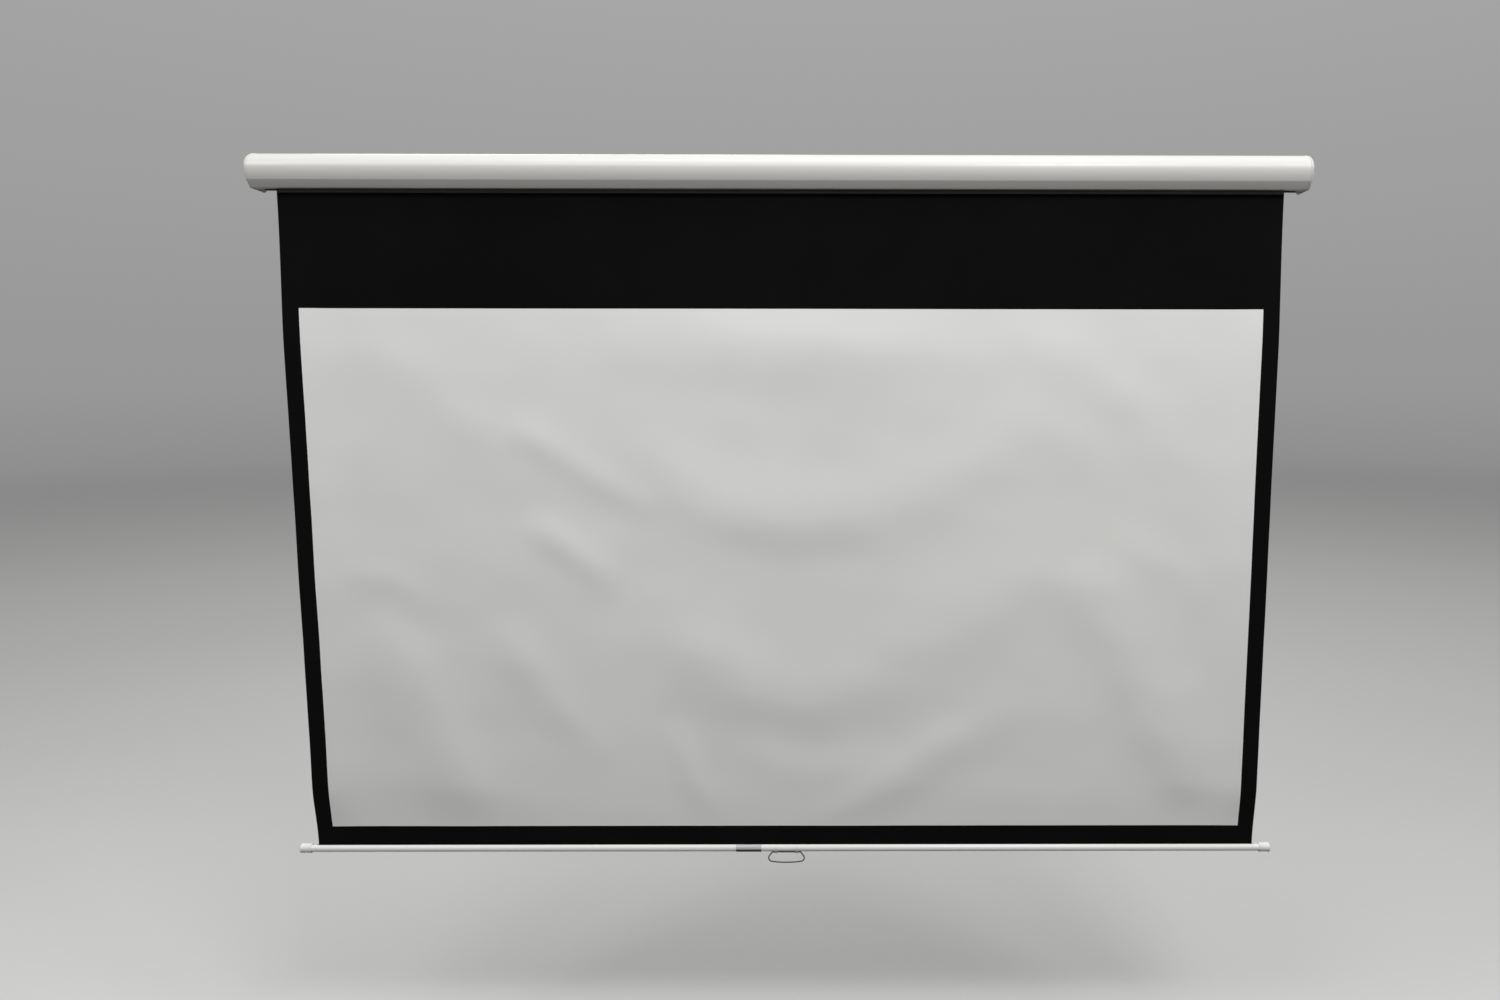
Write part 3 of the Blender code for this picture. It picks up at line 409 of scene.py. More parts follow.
CASING_WHITE = coated_steel("casing_powder_coat", (0.756, 0.743, 0.721), 0.36)
SLAT_WHITE = coated_steel("slat_powder_coat", (0.900, 0.897, 0.880), 0.25)
CAP_PLASTIC = moulded("cap_plastic", (0.728, 0.717, 0.693), 0.44)
CLIP_PLASTIC = moulded("clip_plastic", (0.820, 0.816, 0.796), 0.42)
SLAT_CAP_PLASTIC = moulded("slat_cap_plastic", (0.840, 0.836, 0.815), 0.42)
ZINC = plated("zinc_plate", (0.60, 0.61, 0.62))
SCREW_ZINC = plated("screw_zinc", (0.66, 0.67, 0.67), 0.28)
ALLOY = extruded("mill_aluminium", (0.66, 0.67, 0.68))
NATURAL_NYLON = moulded("natural_nylon", (0.70, 0.68, 0.61), 0.5)
BLACK_NYLON = moulded("black_nylon", (0.030, 0.030, 0.032), 0.48)
BRIGHT_STEEL = plated("bright_steel", (0.52, 0.52, 0.52), 0.24, (0.98, 0.99, 1.01))
SPRING_STEEL = oiled_spring("spring_steel", (0.34, 0.33, 0.32))
ROLLER_STEEL = galvanised("galvanised_tube", (0.50, 0.51, 0.52))
SPLINE_GREY = moulded("spline_plastic", (0.30, 0.30, 0.29), 0.6)
BAIL_STEEL = drawn_wire("dark_wire", (0.055, 0.054, 0.053))
PLATE_LIGHT = satin_plate("plate_light_grey", (0.56, 0.56, 0.55), 0.42)
PLATE_DARK = satin_plate("plate_dark_strip", (0.016, 0.014, 0.012), 0.50)
WHITE_FACE, BLACK_FACE, BACK_FACE = screen_white(), screen_mask(), screen_back()


# ---------------------------------------------------------------- mesh helpers
def to_object(name, bm, mats, smooth=32.0):
    bmesh.ops.recalc_face_normals(bm, faces=bm.faces)
    mesh = bpy.data.meshes.new(name)
    bm.to_mesh(mesh)
    bm.free()
    if smooth:
        mesh.shade_smooth()
        mesh.set_sharp_from_angle(angle=math.radians(smooth))
    for m in mats if isinstance(mats, (list, tuple)) else [mats]:
        mesh.materials.append(m)
    obj = bpy.data.objects.new(name, mesh)
    bpy.context.scene.collection.objects.link(obj)
    return obj


def cut(obj, cutters, operation="DIFFERENCE", smooth=32.0):
    """Cuts or joins other solids, which are used up."""
    for other in cutters:
        mod = obj.modifiers.new(other.name, "BOOLEAN")
        mod.object, mod.operation, mod.solver = other, operation, "EXACT"
    bpy.context.view_layer.update()
    ready = obj.evaluated_get(bpy.context.evaluated_depsgraph_get())
    mesh = bpy.data.meshes.new_from_object(ready)
    kept = [m for m in obj.data.materials]
    obj.modifiers.clear()
    obj.data = mesh
    bm = bmesh.new()
    bm.from_mesh(mesh)
    bmesh.ops.dissolve_degenerate(bm, dist=1e-6, edges=bm.edges)
    for face in bm.faces:
        face.material_index = 0
    bm.to_mesh(mesh)
    bm.free()
    mesh.materials.clear()
    for m in kept:
        mesh.materials.append(m)
    mesh.shade_smooth()
    mesh.set_sharp_from_angle(angle=math.radians(smooth))
    for other in cutters:
        bpy.data.objects.remove(other)
    return obj


def placed(obj, body, slot, *nodes):
    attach(obj, body)
    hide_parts(*nodes)
    return obj


def rounded(corners, steps=8):
    """A closed outline whose corners (y, z, r) are rounded to radius r."""
    out, n = [], len(corners)
    for i, (y, z, *rest) in enumerate(corners):
        r = rest[0] if rest else 0.0
        p = np.array((y, z))
        a, b = np.array(corners[i - 1][:2]), np.array(corners[(i + 1) % n][:2])
        u, v = a - p, b - p
        lu, lv = np.linalg.norm(u), np.linalg.norm(v)
        if r <= 0 or lu < 1e-7 or lv < 1e-7:
            out.append((y, z))
            continue
        u, v = u / lu, v / lv
        between = math.acos(max(-1.0, min(1.0, float(u @ v))))
        if between > math.radians(176):
            out.append((y, z))
            continue
        t = min(r / math.tan(between / 2), 0.48 * lu, 0.48 * lv)
        rr = t * math.tan(between / 2)
        c = p + (u + v) / np.linalg.norm(u + v) * (rr / math.sin(between / 2))
        s, e = p + u * t - c, p + v * t - c
        a0, a1 = math.atan2(s[1], s[0]), math.atan2(e[1], e[0])
        d = (a1 - a0 + math.pi) % (2 * math.pi) - math.pi
        k = max(2, math.ceil(abs(d) / (math.pi / 2) * steps))
        for j in range(k + 1):
            th = a0 + d * j / k
            out.append((c[0] + rr * math.cos(th), c[1] + rr * math.sin(th)))
    return out


def arc(cy, cz, ry, rz, start, end, steps):
    return [
        (
            cy + ry * math.cos(math.radians(start + (end - start) * i / steps)),
            cz + rz * math.sin(math.radians(start + (end - start) * i / steps)),
        )
        for i in range(steps + 1)
    ]


def run(name, section, xs, mats, smooth=32.0, face_material=None):
    """A closed (y, z) section run along X through the stations xs."""
    bm = bmesh.new()
    rings = [[bm.verts.new((x, y, z)) for y, z in section] for x in xs]
    n = len(section)
    for a, b in zip(rings, rings[1:]):
        for i in range(n):
            j = (i + 1) % n
            f = bm.faces.new((a[i], b[i], b[j], a[j]))
            if face_material:
                f.material_index = face_material(section[i], section[j])
    for ring in (rings[0][::-1], rings[-1]):
        f = bm.faces.new(ring)
        if face_material:
            f.material_index = 0
    return to_object(name, bm, mats, smooth)


def loft(name, loops, mats, smooth=32.0):
    """Loops of the same number of points, joined in order and closed at both ends."""
    bm = bmesh.new()
    rings = [[bm.verts.new(p) for p in loop] for loop in loops]
    n = len(loops[0])
    for a, b in zip(rings, rings[1:]):
        for i in range(n):
            j = (i + 1) % n
            bm.faces.new((a[i], b[i], b[j], a[j]))
    bm.faces.new(rings[0][::-1])
    bm.faces.new(rings[-1])
    return to_object(name, bm, mats, smooth)


def turned(name, profile, centre, mats, steps=64, smooth=32.0):
    """A closed (x, r) profile turned about the X line through centre."""
    bm = bmesh.new()
    cy, cz = centre
    rings = []
    for x, r in profile:
        if r <= 0:
            rings.append([bm.verts.new((x, cy, cz))])
            continue
        rings.append(
            [
                bm.verts.new(
                    (
                        x,
                        cy + r * math.cos(2 * math.pi * i / steps),
                        cz + r * math.sin(2 * math.pi * i / steps),
                    )
                )
                for i in range(steps)
            ]
        )
    for a, b in zip(rings, rings[1:] + rings[:1]):
        if len(a) == 1 and len(b) == 1:
            continue
        for i in range(steps):
            j = (i + 1) % steps
            if len(a) == 1:
                bm.faces.new((a[0], b[i], b[j]))
            elif len(b) == 1:
                bm.faces.new((a[i], b[0], a[j]))
            else:
                bm.faces.new((a[i], b[i], b[j], a[j]))
    return to_object(name, bm, mats, smooth)


def about(name, profile, origin, direction, mats, steps=48, smooth=32.0):
    """A closed (distance, r) profile turned about the line from origin in a direction."""
    obj = turned(name, profile, (0.0, 0.0), mats, steps, smooth)
    turn = Vector((1, 0, 0)).rotation_difference(Vector(direction).normalized())
    obj.data.transform(Matrix.Translation(origin) @ turn.to_matrix().to_4x4())
    return obj


def rod(name, start, end, radius, steps=32):
    start, end = Vector(start), Vector(end)
    length = (end - start).length
    return about(
        name, [(0, 0), (0, radius), (length, radius), (length, 0)], start, end - start, CUTTER, steps
    )


def brick(name, low, high, mats=None):
    bm = bmesh.new()
    bmesh.ops.create_cube(bm, size=1.0)
    low, high = Vector(low), Vector(high)
    size = high - low
    bmesh.ops.transform(
        bm,
        matrix=Matrix.Translation((low + high) / 2)
        @ Matrix.Diagonal((size.x, size.y, size.z, 1)),
        verts=bm.verts,
    )
    return to_object(name, bm, mats or CUTTER, 0)


CUTTER = bpy.data.materials.new("cutter")


def even(x0, x1, step):
    n = max(1, round((x1 - x0) / step))
    return [x0 + (x1 - x0) * i / n for i in range(n + 1)]


def chamfered(x0, x1, step, *extra):
    return sorted(set(even(x0, x1, step)) | set(extra))


# ---------------------------------------------------------------- casing shell
def front_line(inward, steps=12):
    """The lower front, which leans in from the ellipse's widest point down to the crease."""
    top_y, top_z = ARC_Y - ARC_A + inward, ARC_Z
    end_y, end_z = CREASE[0] + inward, CREASE[1] + 0.6 * inward
    return [
        (top_y + (end_y - top_y) * s * s, top_z + (end_z - top_z) * s)
        for s in (1 - i / steps for i in range(steps))
    ]


t = WALL_T
shell_outer = (
    [(SLOT_FRONT, CASING_BOTTOM, 0.0004), (CHAMFER_FOOT, CASING_BOTTOM, 0.0030)]
    + [(y, z, 0.0016 if i == 0 else 0.0) for i, (y, z) in enumerate(front_line(0.0))]
    + arc(ARC_Y, ARC_Z, ARC_A, ARC_B, 180, 90, 64)
    + [
        (0.0, CASING_TOP, 0.0040),
        (0.0, LIP_LOW, 0.0004),
        (-LIP_T, LIP_LOW, 0.0004),
        (-LIP_T, CHANNEL_TOP, 0.0003),
        (-CHANNEL_D, CHANNEL_TOP, 0.0008),
        (-CHANNEL_D, CHANNEL_LOW, 0.0008),
        (0.0, CHANNEL_LOW, 0.0008),
        (0.0, CASING_BOTTOM + BACK_CHAMFER, 0.0024),
        (BACK_FOOT, CASING_BOTTOM, 0.0012),
        (SLOT_BACK, CASING_BOTTOM, 0.0004),
    ]
)
shell_inner = (
    [
        (SLOT_BACK, CASING_BOTTOM + t, 0.0004),
        (BACK_FOOT - 0.0003, CASING_BOTTOM + t, 0.0006),
        (-t, CASING_BOTTOM + BACK_CHAMFER + 0.0008, 0.0012),
        (-t, CHANNEL_LOW - t, 0.0003),
        (-CHANNEL_D - t, CHANNEL_LOW - t, 0.0014),
        (-CHANNEL_D - t, CHANNEL_TOP + t, 0.0014),
        (-t, CHANNEL_TOP + t, 0.0003),
        (-t, CASING_TOP - t, 0.0027),
    ]
    + arc(ARC_Y, ARC_Z, ARC_A - t, ARC_B - t, 90, 180, 64)
    + [(y, z, 0.0) for y, z in front_line(t)[::-1][:-1]]
    + [
        (CREASE[0] + t, CREASE[1] + 0.6 * t, 0.0006),
        (CHAMFER_FOOT + 0.0005, CASING_BOTTOM + t, 0.0018),
        (SLOT_FRONT, CASING_BOTTOM + t, 0.0004),
    ]
)
shell = run(
    "casing_shell_coated",
    rounded(shell_outer + shell_inner),
    even(-SHELL_HALF, SHELL_HALF, 0.13),
    CASING_WHITE,
)
placed(shell, "casing", "casing_white", "casing_shell")

# ---------------------------------------------------------------- end caps
cap_line = rounded(
    [(CHAMFER_FOOT - 0.0003, CASING_BOTTOM - CAP_DROP, 0.0030)]
    + [(CREASE[0] - 0.0006, CREASE[1] - 0.0004, 0.0022)]
    + [
        (
            ARC_Y - ARC_A - CAP_PROUD + (CREASE[0] - 0.0006 - ARC_Y + ARC_A + CAP_PROUD) * s * s,
            ARC_Z + (CREASE[1] - ARC_Z) * s,
        )
        for s in (0.75, 0.5, 0.25)
    ]
    + arc(ARC_Y, ARC_Z, ARC_A + CAP_PROUD, ARC_B + CAP_PROUD, 180, 90, 48)
    + [
        (0.0, CASING_TOP + CAP_PROUD, 0.0040),
        (0.0, CASING_BOTTOM + BACK_CHAMFER - 0.0010, 0.0026),
        (*CAP_TIP, 0.0022),
    ],
    8,
)
g = WALL_T + 0.0004
skirt_line = rounded(
    [
        (CHAMFER_FOOT + 0.0008, CASING_BOTTOM + g, 0.0015),
        (CREASE[0] + 0.0018, CREASE[1] + 0.0012, 0.0008),
    ]
    + arc(ARC_Y, ARC_Z, ARC_A - g, ARC_B - g, 180, 90, 32)
    + [
        (-0.0200, CASING_TOP - g, 0.0010),
        (-CHANNEL_D - g - 0.0004, CASING_TOP - g - 0.0060, 0.0010),
        (-CHANNEL_D - g, CHANNEL_LOW - g, 0.0010),
        (-CHANNEL_D - g, -0.0205, 0.0010),
        (BACK_FOOT - 0.0006, CASING_BOTTOM + g, 0.0010),
    ],
    5,
)


def toward(section, amount, centre=(-0.0465, -0.0008), half=0.0425):
    k = 1 - amount / half
    return [(centre[0] + (y - centre[0]) * k, centre[1] + (z - centre[1]) * k) for y, z in section]


def end_cap(word, side):
    base, ends = SHELL_HALF + GAP, CASING_HALF
    stations = [(base, 0.0005), (base + 0.0002, 0.0001), (base + 0.0006, 0.0)]
    for k in range(13):
        a = math.radians(90 * k / 12)
        stations.append(
            (ends - CAP_ROUND_X + CAP_ROUND_X * math.sin(a), CAP_ROUND_IN * (1 - math.cos(a)))
        )
    cap = loft(
        f"end_cap_{word}_moulded",
        [[(side * x, y, z) for y, z in toward(cap_line, inset)] for x, inset in stations],
        CAP_PLASTIC,
    )

    def prism(name, section, x0, x1):
        return run(name, section, sorted((side * x0, side * x1)), CUTTER, 0)

    cut(cap, [prism("hollow", toward(cap_line, 0.0026), base - 0.0010, ends - CAP_WALL)])
    cut(cap, [prism("skirt", skirt_line, SHELL_HALF - CAP_PLUG, ends - CAP_WALL + 0.0005)], "UNION")
    cut(
        cap,
        [prism("skirt_hole", toward(skirt_line, 0.0016), SHELL_HALF - CAP_PLUG - 0.0050, ends - CAP_WALL)],
    )
    for y, z in BOSSES:
        cut(
            cap,
            [rod("boss", (side * (BRACKET_OUT + GAP), y, z), (side * (ends - 0.0012), y, z), 0.0050)],
            "UNION",
        )
    tools = []
    for y, z in BOSSES:
        tools.append(
            rod("hole", (side * (BRACKET_OUT - 0.002), y, z), (side * (ends + 0.002), y, z), SCREW_HOLE)
        )
        # A counterbore with a broken edge.
        tools.append(
            about(
                "sink",
                [
                    (0, 0),
                    (0, SCREW_HEAD + 0.0004),
                    (0.0026 - 0.0004, SCREW_HEAD + 0.0004),
                    (0.0026 + 0.0002, SCREW_HEAD + 0.0010),
                    (0.0046, SCREW_HEAD + 0.0010),
                    (0.0046, 0),
                ],
                (side * (ends - 0.0026), y, z),
                (side, 0, 0),
                CUTTER,
                48,
            )
        )
    for tool in tools:
        cut(cap, [tool])
    placed(cap, "casing", "cap_white", f"end_cap_{word}")


def pan_screw(word, side, place, y, z):
    """Pan head with a cross recess."""
    head = CASING_HALF - 0.0026 + GAP
    crown = [
        (head + 0.0022 - 0.0009 * (1 - math.cos(math.radians(a))), (SCREW_HEAD - 0.0004) * math.sin(math.radians(a)))
        for a in (0, 20, 40, 58, 74)
    ]
    profile = (
        crown
        + [
            (head + 0.0011, SCREW_HEAD - 0.0001),
            (head + 0.0006, SCREW_HEAD),
            (head + 0.0002, SCREW_HEAD),
            (head, SCREW_HEAD - 0.0002),
            (head, SCREW_R + 0.0002),
            (head - 0.0003, SCREW_R),
        ]
    )
    # The thread, as close rings.
    x, low = head - 0.0060, BRACKET_IN - 0.0030
    while x - 0.0008 > low:
        profile += [(x, SCREW_R), (x - 0.0002, SCREW_R - 0.00035), (x - 0.0004, SCREW_R - 0.00035), (x - 0.0006, SCREW_R)]
        x -= 0.0008
    profile += [(low, SCREW_R), (BRACKET_IN - 0.0042, SCREW_R * 0.45), (BRACKET_IN - 0.0042, 0)]
    screw = turned(
        f"end_cap_screw_{word}_{place}_zinc", [(side * px, r) for px, r in profile], (y, z), SCREW_ZINC, 40
    )
    for turn in (18, 108):
        bm = bmesh.new()
        w0, w1, h0, h1 = 0.00045, 0.00028, 0.0021, 0.0011
        pts = [
            (px, sy * w, sz * h)
            for px, w, h in ((head + 0.0030, w0 * 1.3, h0 * 1.25), (head + 0.0006, w1, h1))
            for sy, sz in ((-1, -1), (1, -1), (1, 1), (-1, 1))
        ]
        c, s = math.cos(math.radians(turn)), math.sin(math.radians(turn))
        vs = [bm.verts.new((side * px, y + py * c - pz * s, z + py * s + pz * c)) for px, py, pz in pts]
        for f in ((0, 1, 2, 3), (7, 6, 5, 4), (0, 4, 5, 1), (1, 5, 6, 2), (2, 6, 7, 3), (3, 7, 4, 0)):
            bm.faces.new([vs[i] for i in f])
        cut(screw, [to_object("blade", bm, CUTTER, 0)])
    placed(screw, "casing", "zinc", f"end_cap_screw_{word}_{place}")


for word, side in (("left", -1), ("right", 1)):
    end_cap(word, side)
    for place, (y, z) in zip(("upper", "lower"), BOSSES):
        pan_screw(word, side, place, y, z)

# ---------------------------------------------------------------- wall brackets
cleat_line = rounded(
    [
        (0.0, CHANNEL_LOW + 0.0005, 0.0003),
        (0.0, LIP_LOW - 0.0005, 0.0003),
        (-LIP_T - GAP, LIP_LOW - 0.0005, 0.0003),
        (-LIP_T - GAP, CHANNEL_TOP - 0.0012, 0.0002),
        (-LIP_T - GAP - 0.0006, CHANNEL_TOP - 0.0006, 0.0004),
        (-CLEAT_D + 0.0008, CHANNEL_TOP - 0.0006, 0.0004),
        (-CLEAT_D, CHANNEL_TOP - 0.0016, 0.0004),
        (-CLEAT_D, CHANNEL_LOW + 0.0015, 0.0004),
        (-CLEAT_D + 0.0010, CHANNEL_LOW + 0.0005, 0.0004),
    ],
    5,
)
for word, side in (("left", -1), ("right", 1)):
    x = side * WALL_BRACKET_X
    cleat = run(
        f"wall_bracket_{word}_alloy",
        cleat_line,
        even(x - WALL_BRACKET_W / 2, x + WALL_BRACKET_W / 2, 0.01),
        ALLOY,
    )
    for dx in (-0.0180, 0.0180):
        cut(
            cleat,
            [
                about(
                    "screw_hole",
                    [
                        (-0.004, 0),
                        (-0.004, 0.0046),
                        (CLEAT_D * 0 + 0.0000, 0.0046),
                        (0.0021, 0.0025),
                        (0.0120, 0.0025),
                        (0.0120, 0),
                    ],
                    (x + dx, -CLEAT_D, CLEAT_HOLE_Z),
                    (0, 1, 0),
                    CUTTER,
                    48,
                )
            ],
        )
    placed(cleat, "casing", "alloy", f"wall_bracket_{word}")


# ---------------------------------------------------------------- roller, spring motor and stop
def around(r, degrees_):
    a = math.radians(degrees_)
    return (ROLLER_Y + r * math.cos(a), ROLLER_Z + r * math.sin(a))


floor_z = ROLLER_Z + TUBE_R - KEY_D
half_key = math.degrees(math.asin(KEY_W / 2 / TUBE_R))
wall_key = math.degrees(math.asin((KEY_W / 2 + TUBE_T) / (TUBE_R - TUBE_T)))


def grooved_tube():
    n = 88
    outside = [around(TUBE_R, 90 + half_key + (360 - 2 * half_key) * i / n) for i in range(n + 1)]
    outside += [(ROLLER_Y + KEY_W / 2, floor_z), (ROLLER_Y - KEY_W / 2, floor_z)]
    inside = [around(TUBE_R - TUBE_T, 90 + wall_key + (360 - 2 * wall_key) * i / n) for i in range(n + 1)]
    inside += [
        (ROLLER_Y + KEY_W / 2 + TUBE_T, floor_z - TUBE_T),
        (ROLLER_Y - KEY_W / 2 - TUBE_T, floor_z - TUBE_T),
    ]
    bm = bmesh.new()
    ends = [
        ([bm.verts.new((x, y, z)) for y, z in outside], [bm.verts.new((x, y, z)) for y, z in inside])
        for x in (-TUBE_HALF, TUBE_HALF)
    ]
    m = len(outside)
    for i in range(m):
        j = (i + 1) % m
        bm.faces.new((ends[0][0][i], ends[1][0][i], ends[1][0][j], ends[0][0][j]))
        bm.faces.new((ends[0][1][j], ends[1][1][j], ends[1][1][i], ends[0][1][i]))
        for a, b in ends:
            bm.faces.new((a[i], a[j], b[j], b[i]))
    return to_object("roller_tube_galvanised", bm, ROLLER_STEEL)


placed(grooved_tube(), "roller", "roller_steel", "roller_tube")

spline_top = ROLLER_Z + math.sqrt(TUBE_R**2 - (KEY_W / 2) ** 2) - 0.0001
placed(
    run(
        "roller_spline_grey",
        rounded(
            [
                (ROLLER_Y - KEY_W / 2 + GAP, floor_z + GAP, 0.0002),
                (ROLLER_Y + KEY_W / 2 - GAP, floor_z + GAP, 0.0002),
                (ROLLER_Y + KEY_W / 2 - GAP, spline_top, 0.0003),
                (ROLLER_Y - KEY_W / 2 + GAP, spline_top, 0.0003),
            ],
            4,
        ),
        even(-FABRIC_HALF, FABRIC_HALF, 0.3),
        SPLINE_GREY,
    ),
    "roller",
    "spline_plastic",
    "roller_spline",
)


def wound_fabric():
    """The wraps left on the tube: a spiral, so the ends show the layers."""
    turns, n = 3, 96
    inner = TUBE_R + GAP
    pitch = (WRAP_R - inner) / turns
    thick = pitch * 0.82
    outside, inside = [], []
    for i in range(turns * n + 1):
        a = 180 - 360 * i / n
        r = inner + pitch * (i / n) * (turns - 1) / turns
        inside.append(around(r, a))
        outside.append(around(r + thick, a))
    return run(
        "fabric_roll_black", outside + inside[::-1], [-FABRIC_HALF, 0.0, FABRIC_HALF], BLACK_FACE, 50
    )


placed(wound_fabric(), "roller", "rolled_fabric", "fabric_roll")


def key_slot(x0, x1):
    low = floor_z - TUBE_T - GAP
    width = KEY_W / 2 + TUBE_T + 0.0008
    return brick("keyway", (x0, ROLLER_Y - width, low), (x1, ROLLER_Y + width, low + 0.0040))


PLUG_R = TUBE_R - TUBE_T - GAP
PLUG_FACE, FLANGE_IN = 1.1570, TUBE_HALF + GAP


def roller_plug(word, side, bore):
    plug = turned(
        f"roller_plug_{word}_nylon",
        [
            (side * x, r)
            for x, r in (
                (PLUG_FACE, bore),
                (PLUG_FACE, 0.0124),
                (PLUG_FACE - 0.0008, 0.0128),
                (PLUG_FACE - 0.0008, 0.0160),
                (PLUG_FACE, 0.0164),
                (PLUG_FACE, 0.0184),
                (PLUG_FACE - 0.0002, 0.0188),
                (PLUG_FACE - 0.0006, TUBE_R),
                (FLANGE_IN, TUBE_R),
                (FLANGE_IN, PLUG_R),
                (1.1220, PLUG_R),
                (1.1200, PLUG_R - 0.0012),
                (1.1200, bore),
            )
        ],
        CENTRE,
        BLACK_NYLON,
        72,
    )
    cut(plug, [key_slot(*sorted((side * FLANGE_IN, side * 1.1100)))])
    return plug


PAWL_PIN_R, PAWL_X0, PAWL_X1 = 0.0013, -1.1616, -1.1586


def spun(point, degrees_):
    a = math.radians(degrees_)
    y, z = point
    return (
        ROLLER_Y + y * math.cos(a) - z * math.sin(a),
        ROLLER_Z + y * math.sin(a) + z * math.cos(a),
    )


left_plug = roller_plug("left", -1, SPINDLE_R + 0.0005)
for letter, half_turn, lean_deg in (("a", 0, -38), ("b", 180, -6)):
    lean = math.radians(lean_deg)
    wide, nose = 0.0026, 0.0013
    line = []
    for i in range(25):
        a = lean + math.radians(90 + 180 * i / 24)
        line.append((wide * math.cos(a), PAWL_PIVOT + wide * math.sin(a)))
    tip = (PAWL_LEN * math.cos(lean), PAWL_PIVOT + PAWL_LEN * math.sin(lean))
    for i in range(13):
        a = lean + math.radians(-90 + 15 * i)
        line.append((tip[0] + nose * math.cos(a), tip[1] + nose * math.sin(a)))
    py, pz = spun((0, PAWL_PIVOT), half_turn)
    lever = run(f"pawl_{letter}_zinc", [spun(p, half_turn) for p in line], [PAWL_X0, PAWL_X1], ZINC)
    cut(lever, [rod("eye", (PAWL_X0 - 0.001, py, pz), (PAWL_X1 + 0.001, py, pz), PAWL_PIN_R + GAP)])
    placed(lever, f"pawl_{letter}", "zinc", f"pawl_{letter}")
    pin = turned(
        f"pawl_pin_{letter}_steel",
        [
            (PAWL_X0 - 0.0012, 0),
            (PAWL_X0 - 0.0012, 0.0012),
            (PAWL_X0 - 0.0010, 0.0017),
            (PAWL_X0 - 0.0007, 0.0020),
            (PAWL_X0 - 0.0004, 0.0021),
            (PAWL_X0 - 0.0004, PAWL_PIN_R),
            (-PLUG_FACE + 0.0045, PAWL_PIN_R),
            (-PLUG_FACE + 0.0050, PAWL_PIN_R - 0.0004),
            (-PLUG_FACE + 0.0050, 0),
        ],
        (py, pz),
        BRIGHT_STEEL,
        36,
    )
    placed(pin, "roller", "bright_steel", f"pawl_pin_{letter}")
    cut(left_plug, [rod("pin_hole", (-PLUG_FACE - 0.002, py, pz), (-PLUG_FACE + 0.0054, py, pz), PAWL_PIN_R + GAP)])
placed(left_plug, "roller", "black_nylon", "roller_plug_left")
placed(roller_plug("right", 1, SPINDLE_R + 0.0003), "roller", "black_nylon", "roller_plug_right")

placed(
    turned(
        "idle_pin_steel",
        [
            (1.1182, 0),
            (1.1182, SPINDLE_R - 0.0006),
            (1.1190, SPINDLE_R),
            (1.1700, SPINDLE_R),
            (1.1707, SPINDLE_R - 0.0003),
            (1.1710, SPINDLE_R - 0.0008),
            (1.1710, 0),
        ],
        CENTRE,
        BRIGHT_STEEL,
        56,
    ),
    "roller",
    "bright_steel",
    "idle_pin",
)
placed(
    turned(
        "idle_bush_nylon",
        [
            (BRACKET_OUT + 0.0014, 0.0044),
            (BRACKET_OUT + 0.0014, 0.0064),
            (BRACKET_OUT + 0.0011, 0.0067),
            (BRACKET_IN - GAP, 0.0067),
            (BRACKET_IN - GAP, 0.0095),
            (BRACKET_IN - 0.0017, 0.0095),
            (BRACKET_IN - 0.0020, 0.0092),
            (BRACKET_IN - 0.0020, 0.0044),
        ],
        CENTRE,
        NATURAL_NYLON,
        64,
    ),
    "casing",
    "natural_nylon",
    "idle_bush",
)

plate_line = rounded(
    [
        (-0.0610, -0.0325, 0.0015),
        (-0.0585, -0.0350, 0.0015),
        (-0.0450, -0.0350, 0.0015),
        (-0.0150, -0.0195, 0.0030),
        (-0.0125, -0.0160, 0.0020),
        (-0.0125, 0.0280, 0.0015),
        (-0.0150, 0.0310, 0.0015),
        (-0.0585, 0.0325, 0.0015),
        (-0.0610, 0.0300, 0.0015),
    ],
    5,
)
for word, side in (("left", -1), ("right", 1)):
    plate = run(f"roller_bracket_{word}_zinc", plate_line, sorted((side * BRACKET_IN, side * BRACKET_OUT)), ZINC)
    ends_x = (side * (BRACKET_IN - 0.002), side * (BRACKET_OUT + 0.002))
    for y, z in BOSSES:
        cut(plate, [rod("hole", (ends_x[0], y, z), (ends_x[1], y, z), SCREW_HOLE)])
    if side < 0:
        cut(
            plate,
            [
                brick(
                    "spindle_slot",
                    (min(ends_x), ROLLER_Y - 0.0024, ROLLER_Z - 0.0044),
                    (max(ends_x), ROLLER_Y + 0.0024, ROLLER_Z + 0.0044),
                )
            ],
        )
    else:
        cut(plate, [rod("bush_hole", (ends_x[0], *CENTRE), (ends_x[1], *CENTRE), 0.0070, 64)])
    placed(plate, "casing", "zinc", f"roller_bracket_{word}")

SPINDLE_END = -0.8560
spindle = turned(
    "spring_spindle_steel",
    [
        (-1.1690, 0),
        (-1.1690, SPINDLE_R - 0.0004),
        (-1.1686, SPINDLE_R),
        (SPINDLE_END - 0.0008, SPINDLE_R),
        (SPINDLE_END, SPINDLE_R - 0.0008),
        (SPINDLE_END, 0),
    ],
    CENTRE,
    BRIGHT_STEEL,
    56,
)
for sign in (-1, 1):
    y0 = ROLLER_Y + sign * 0.0020
    cut(spindle, [brick("flat", (-1.1720, min(y0, y0 + sign * 0.01), -0.0100), (-1.1634, max(y0, y0 + sign * 0.01), 0.0120))])
placed(spindle, "casing", "bright_steel", "spring_spindle")

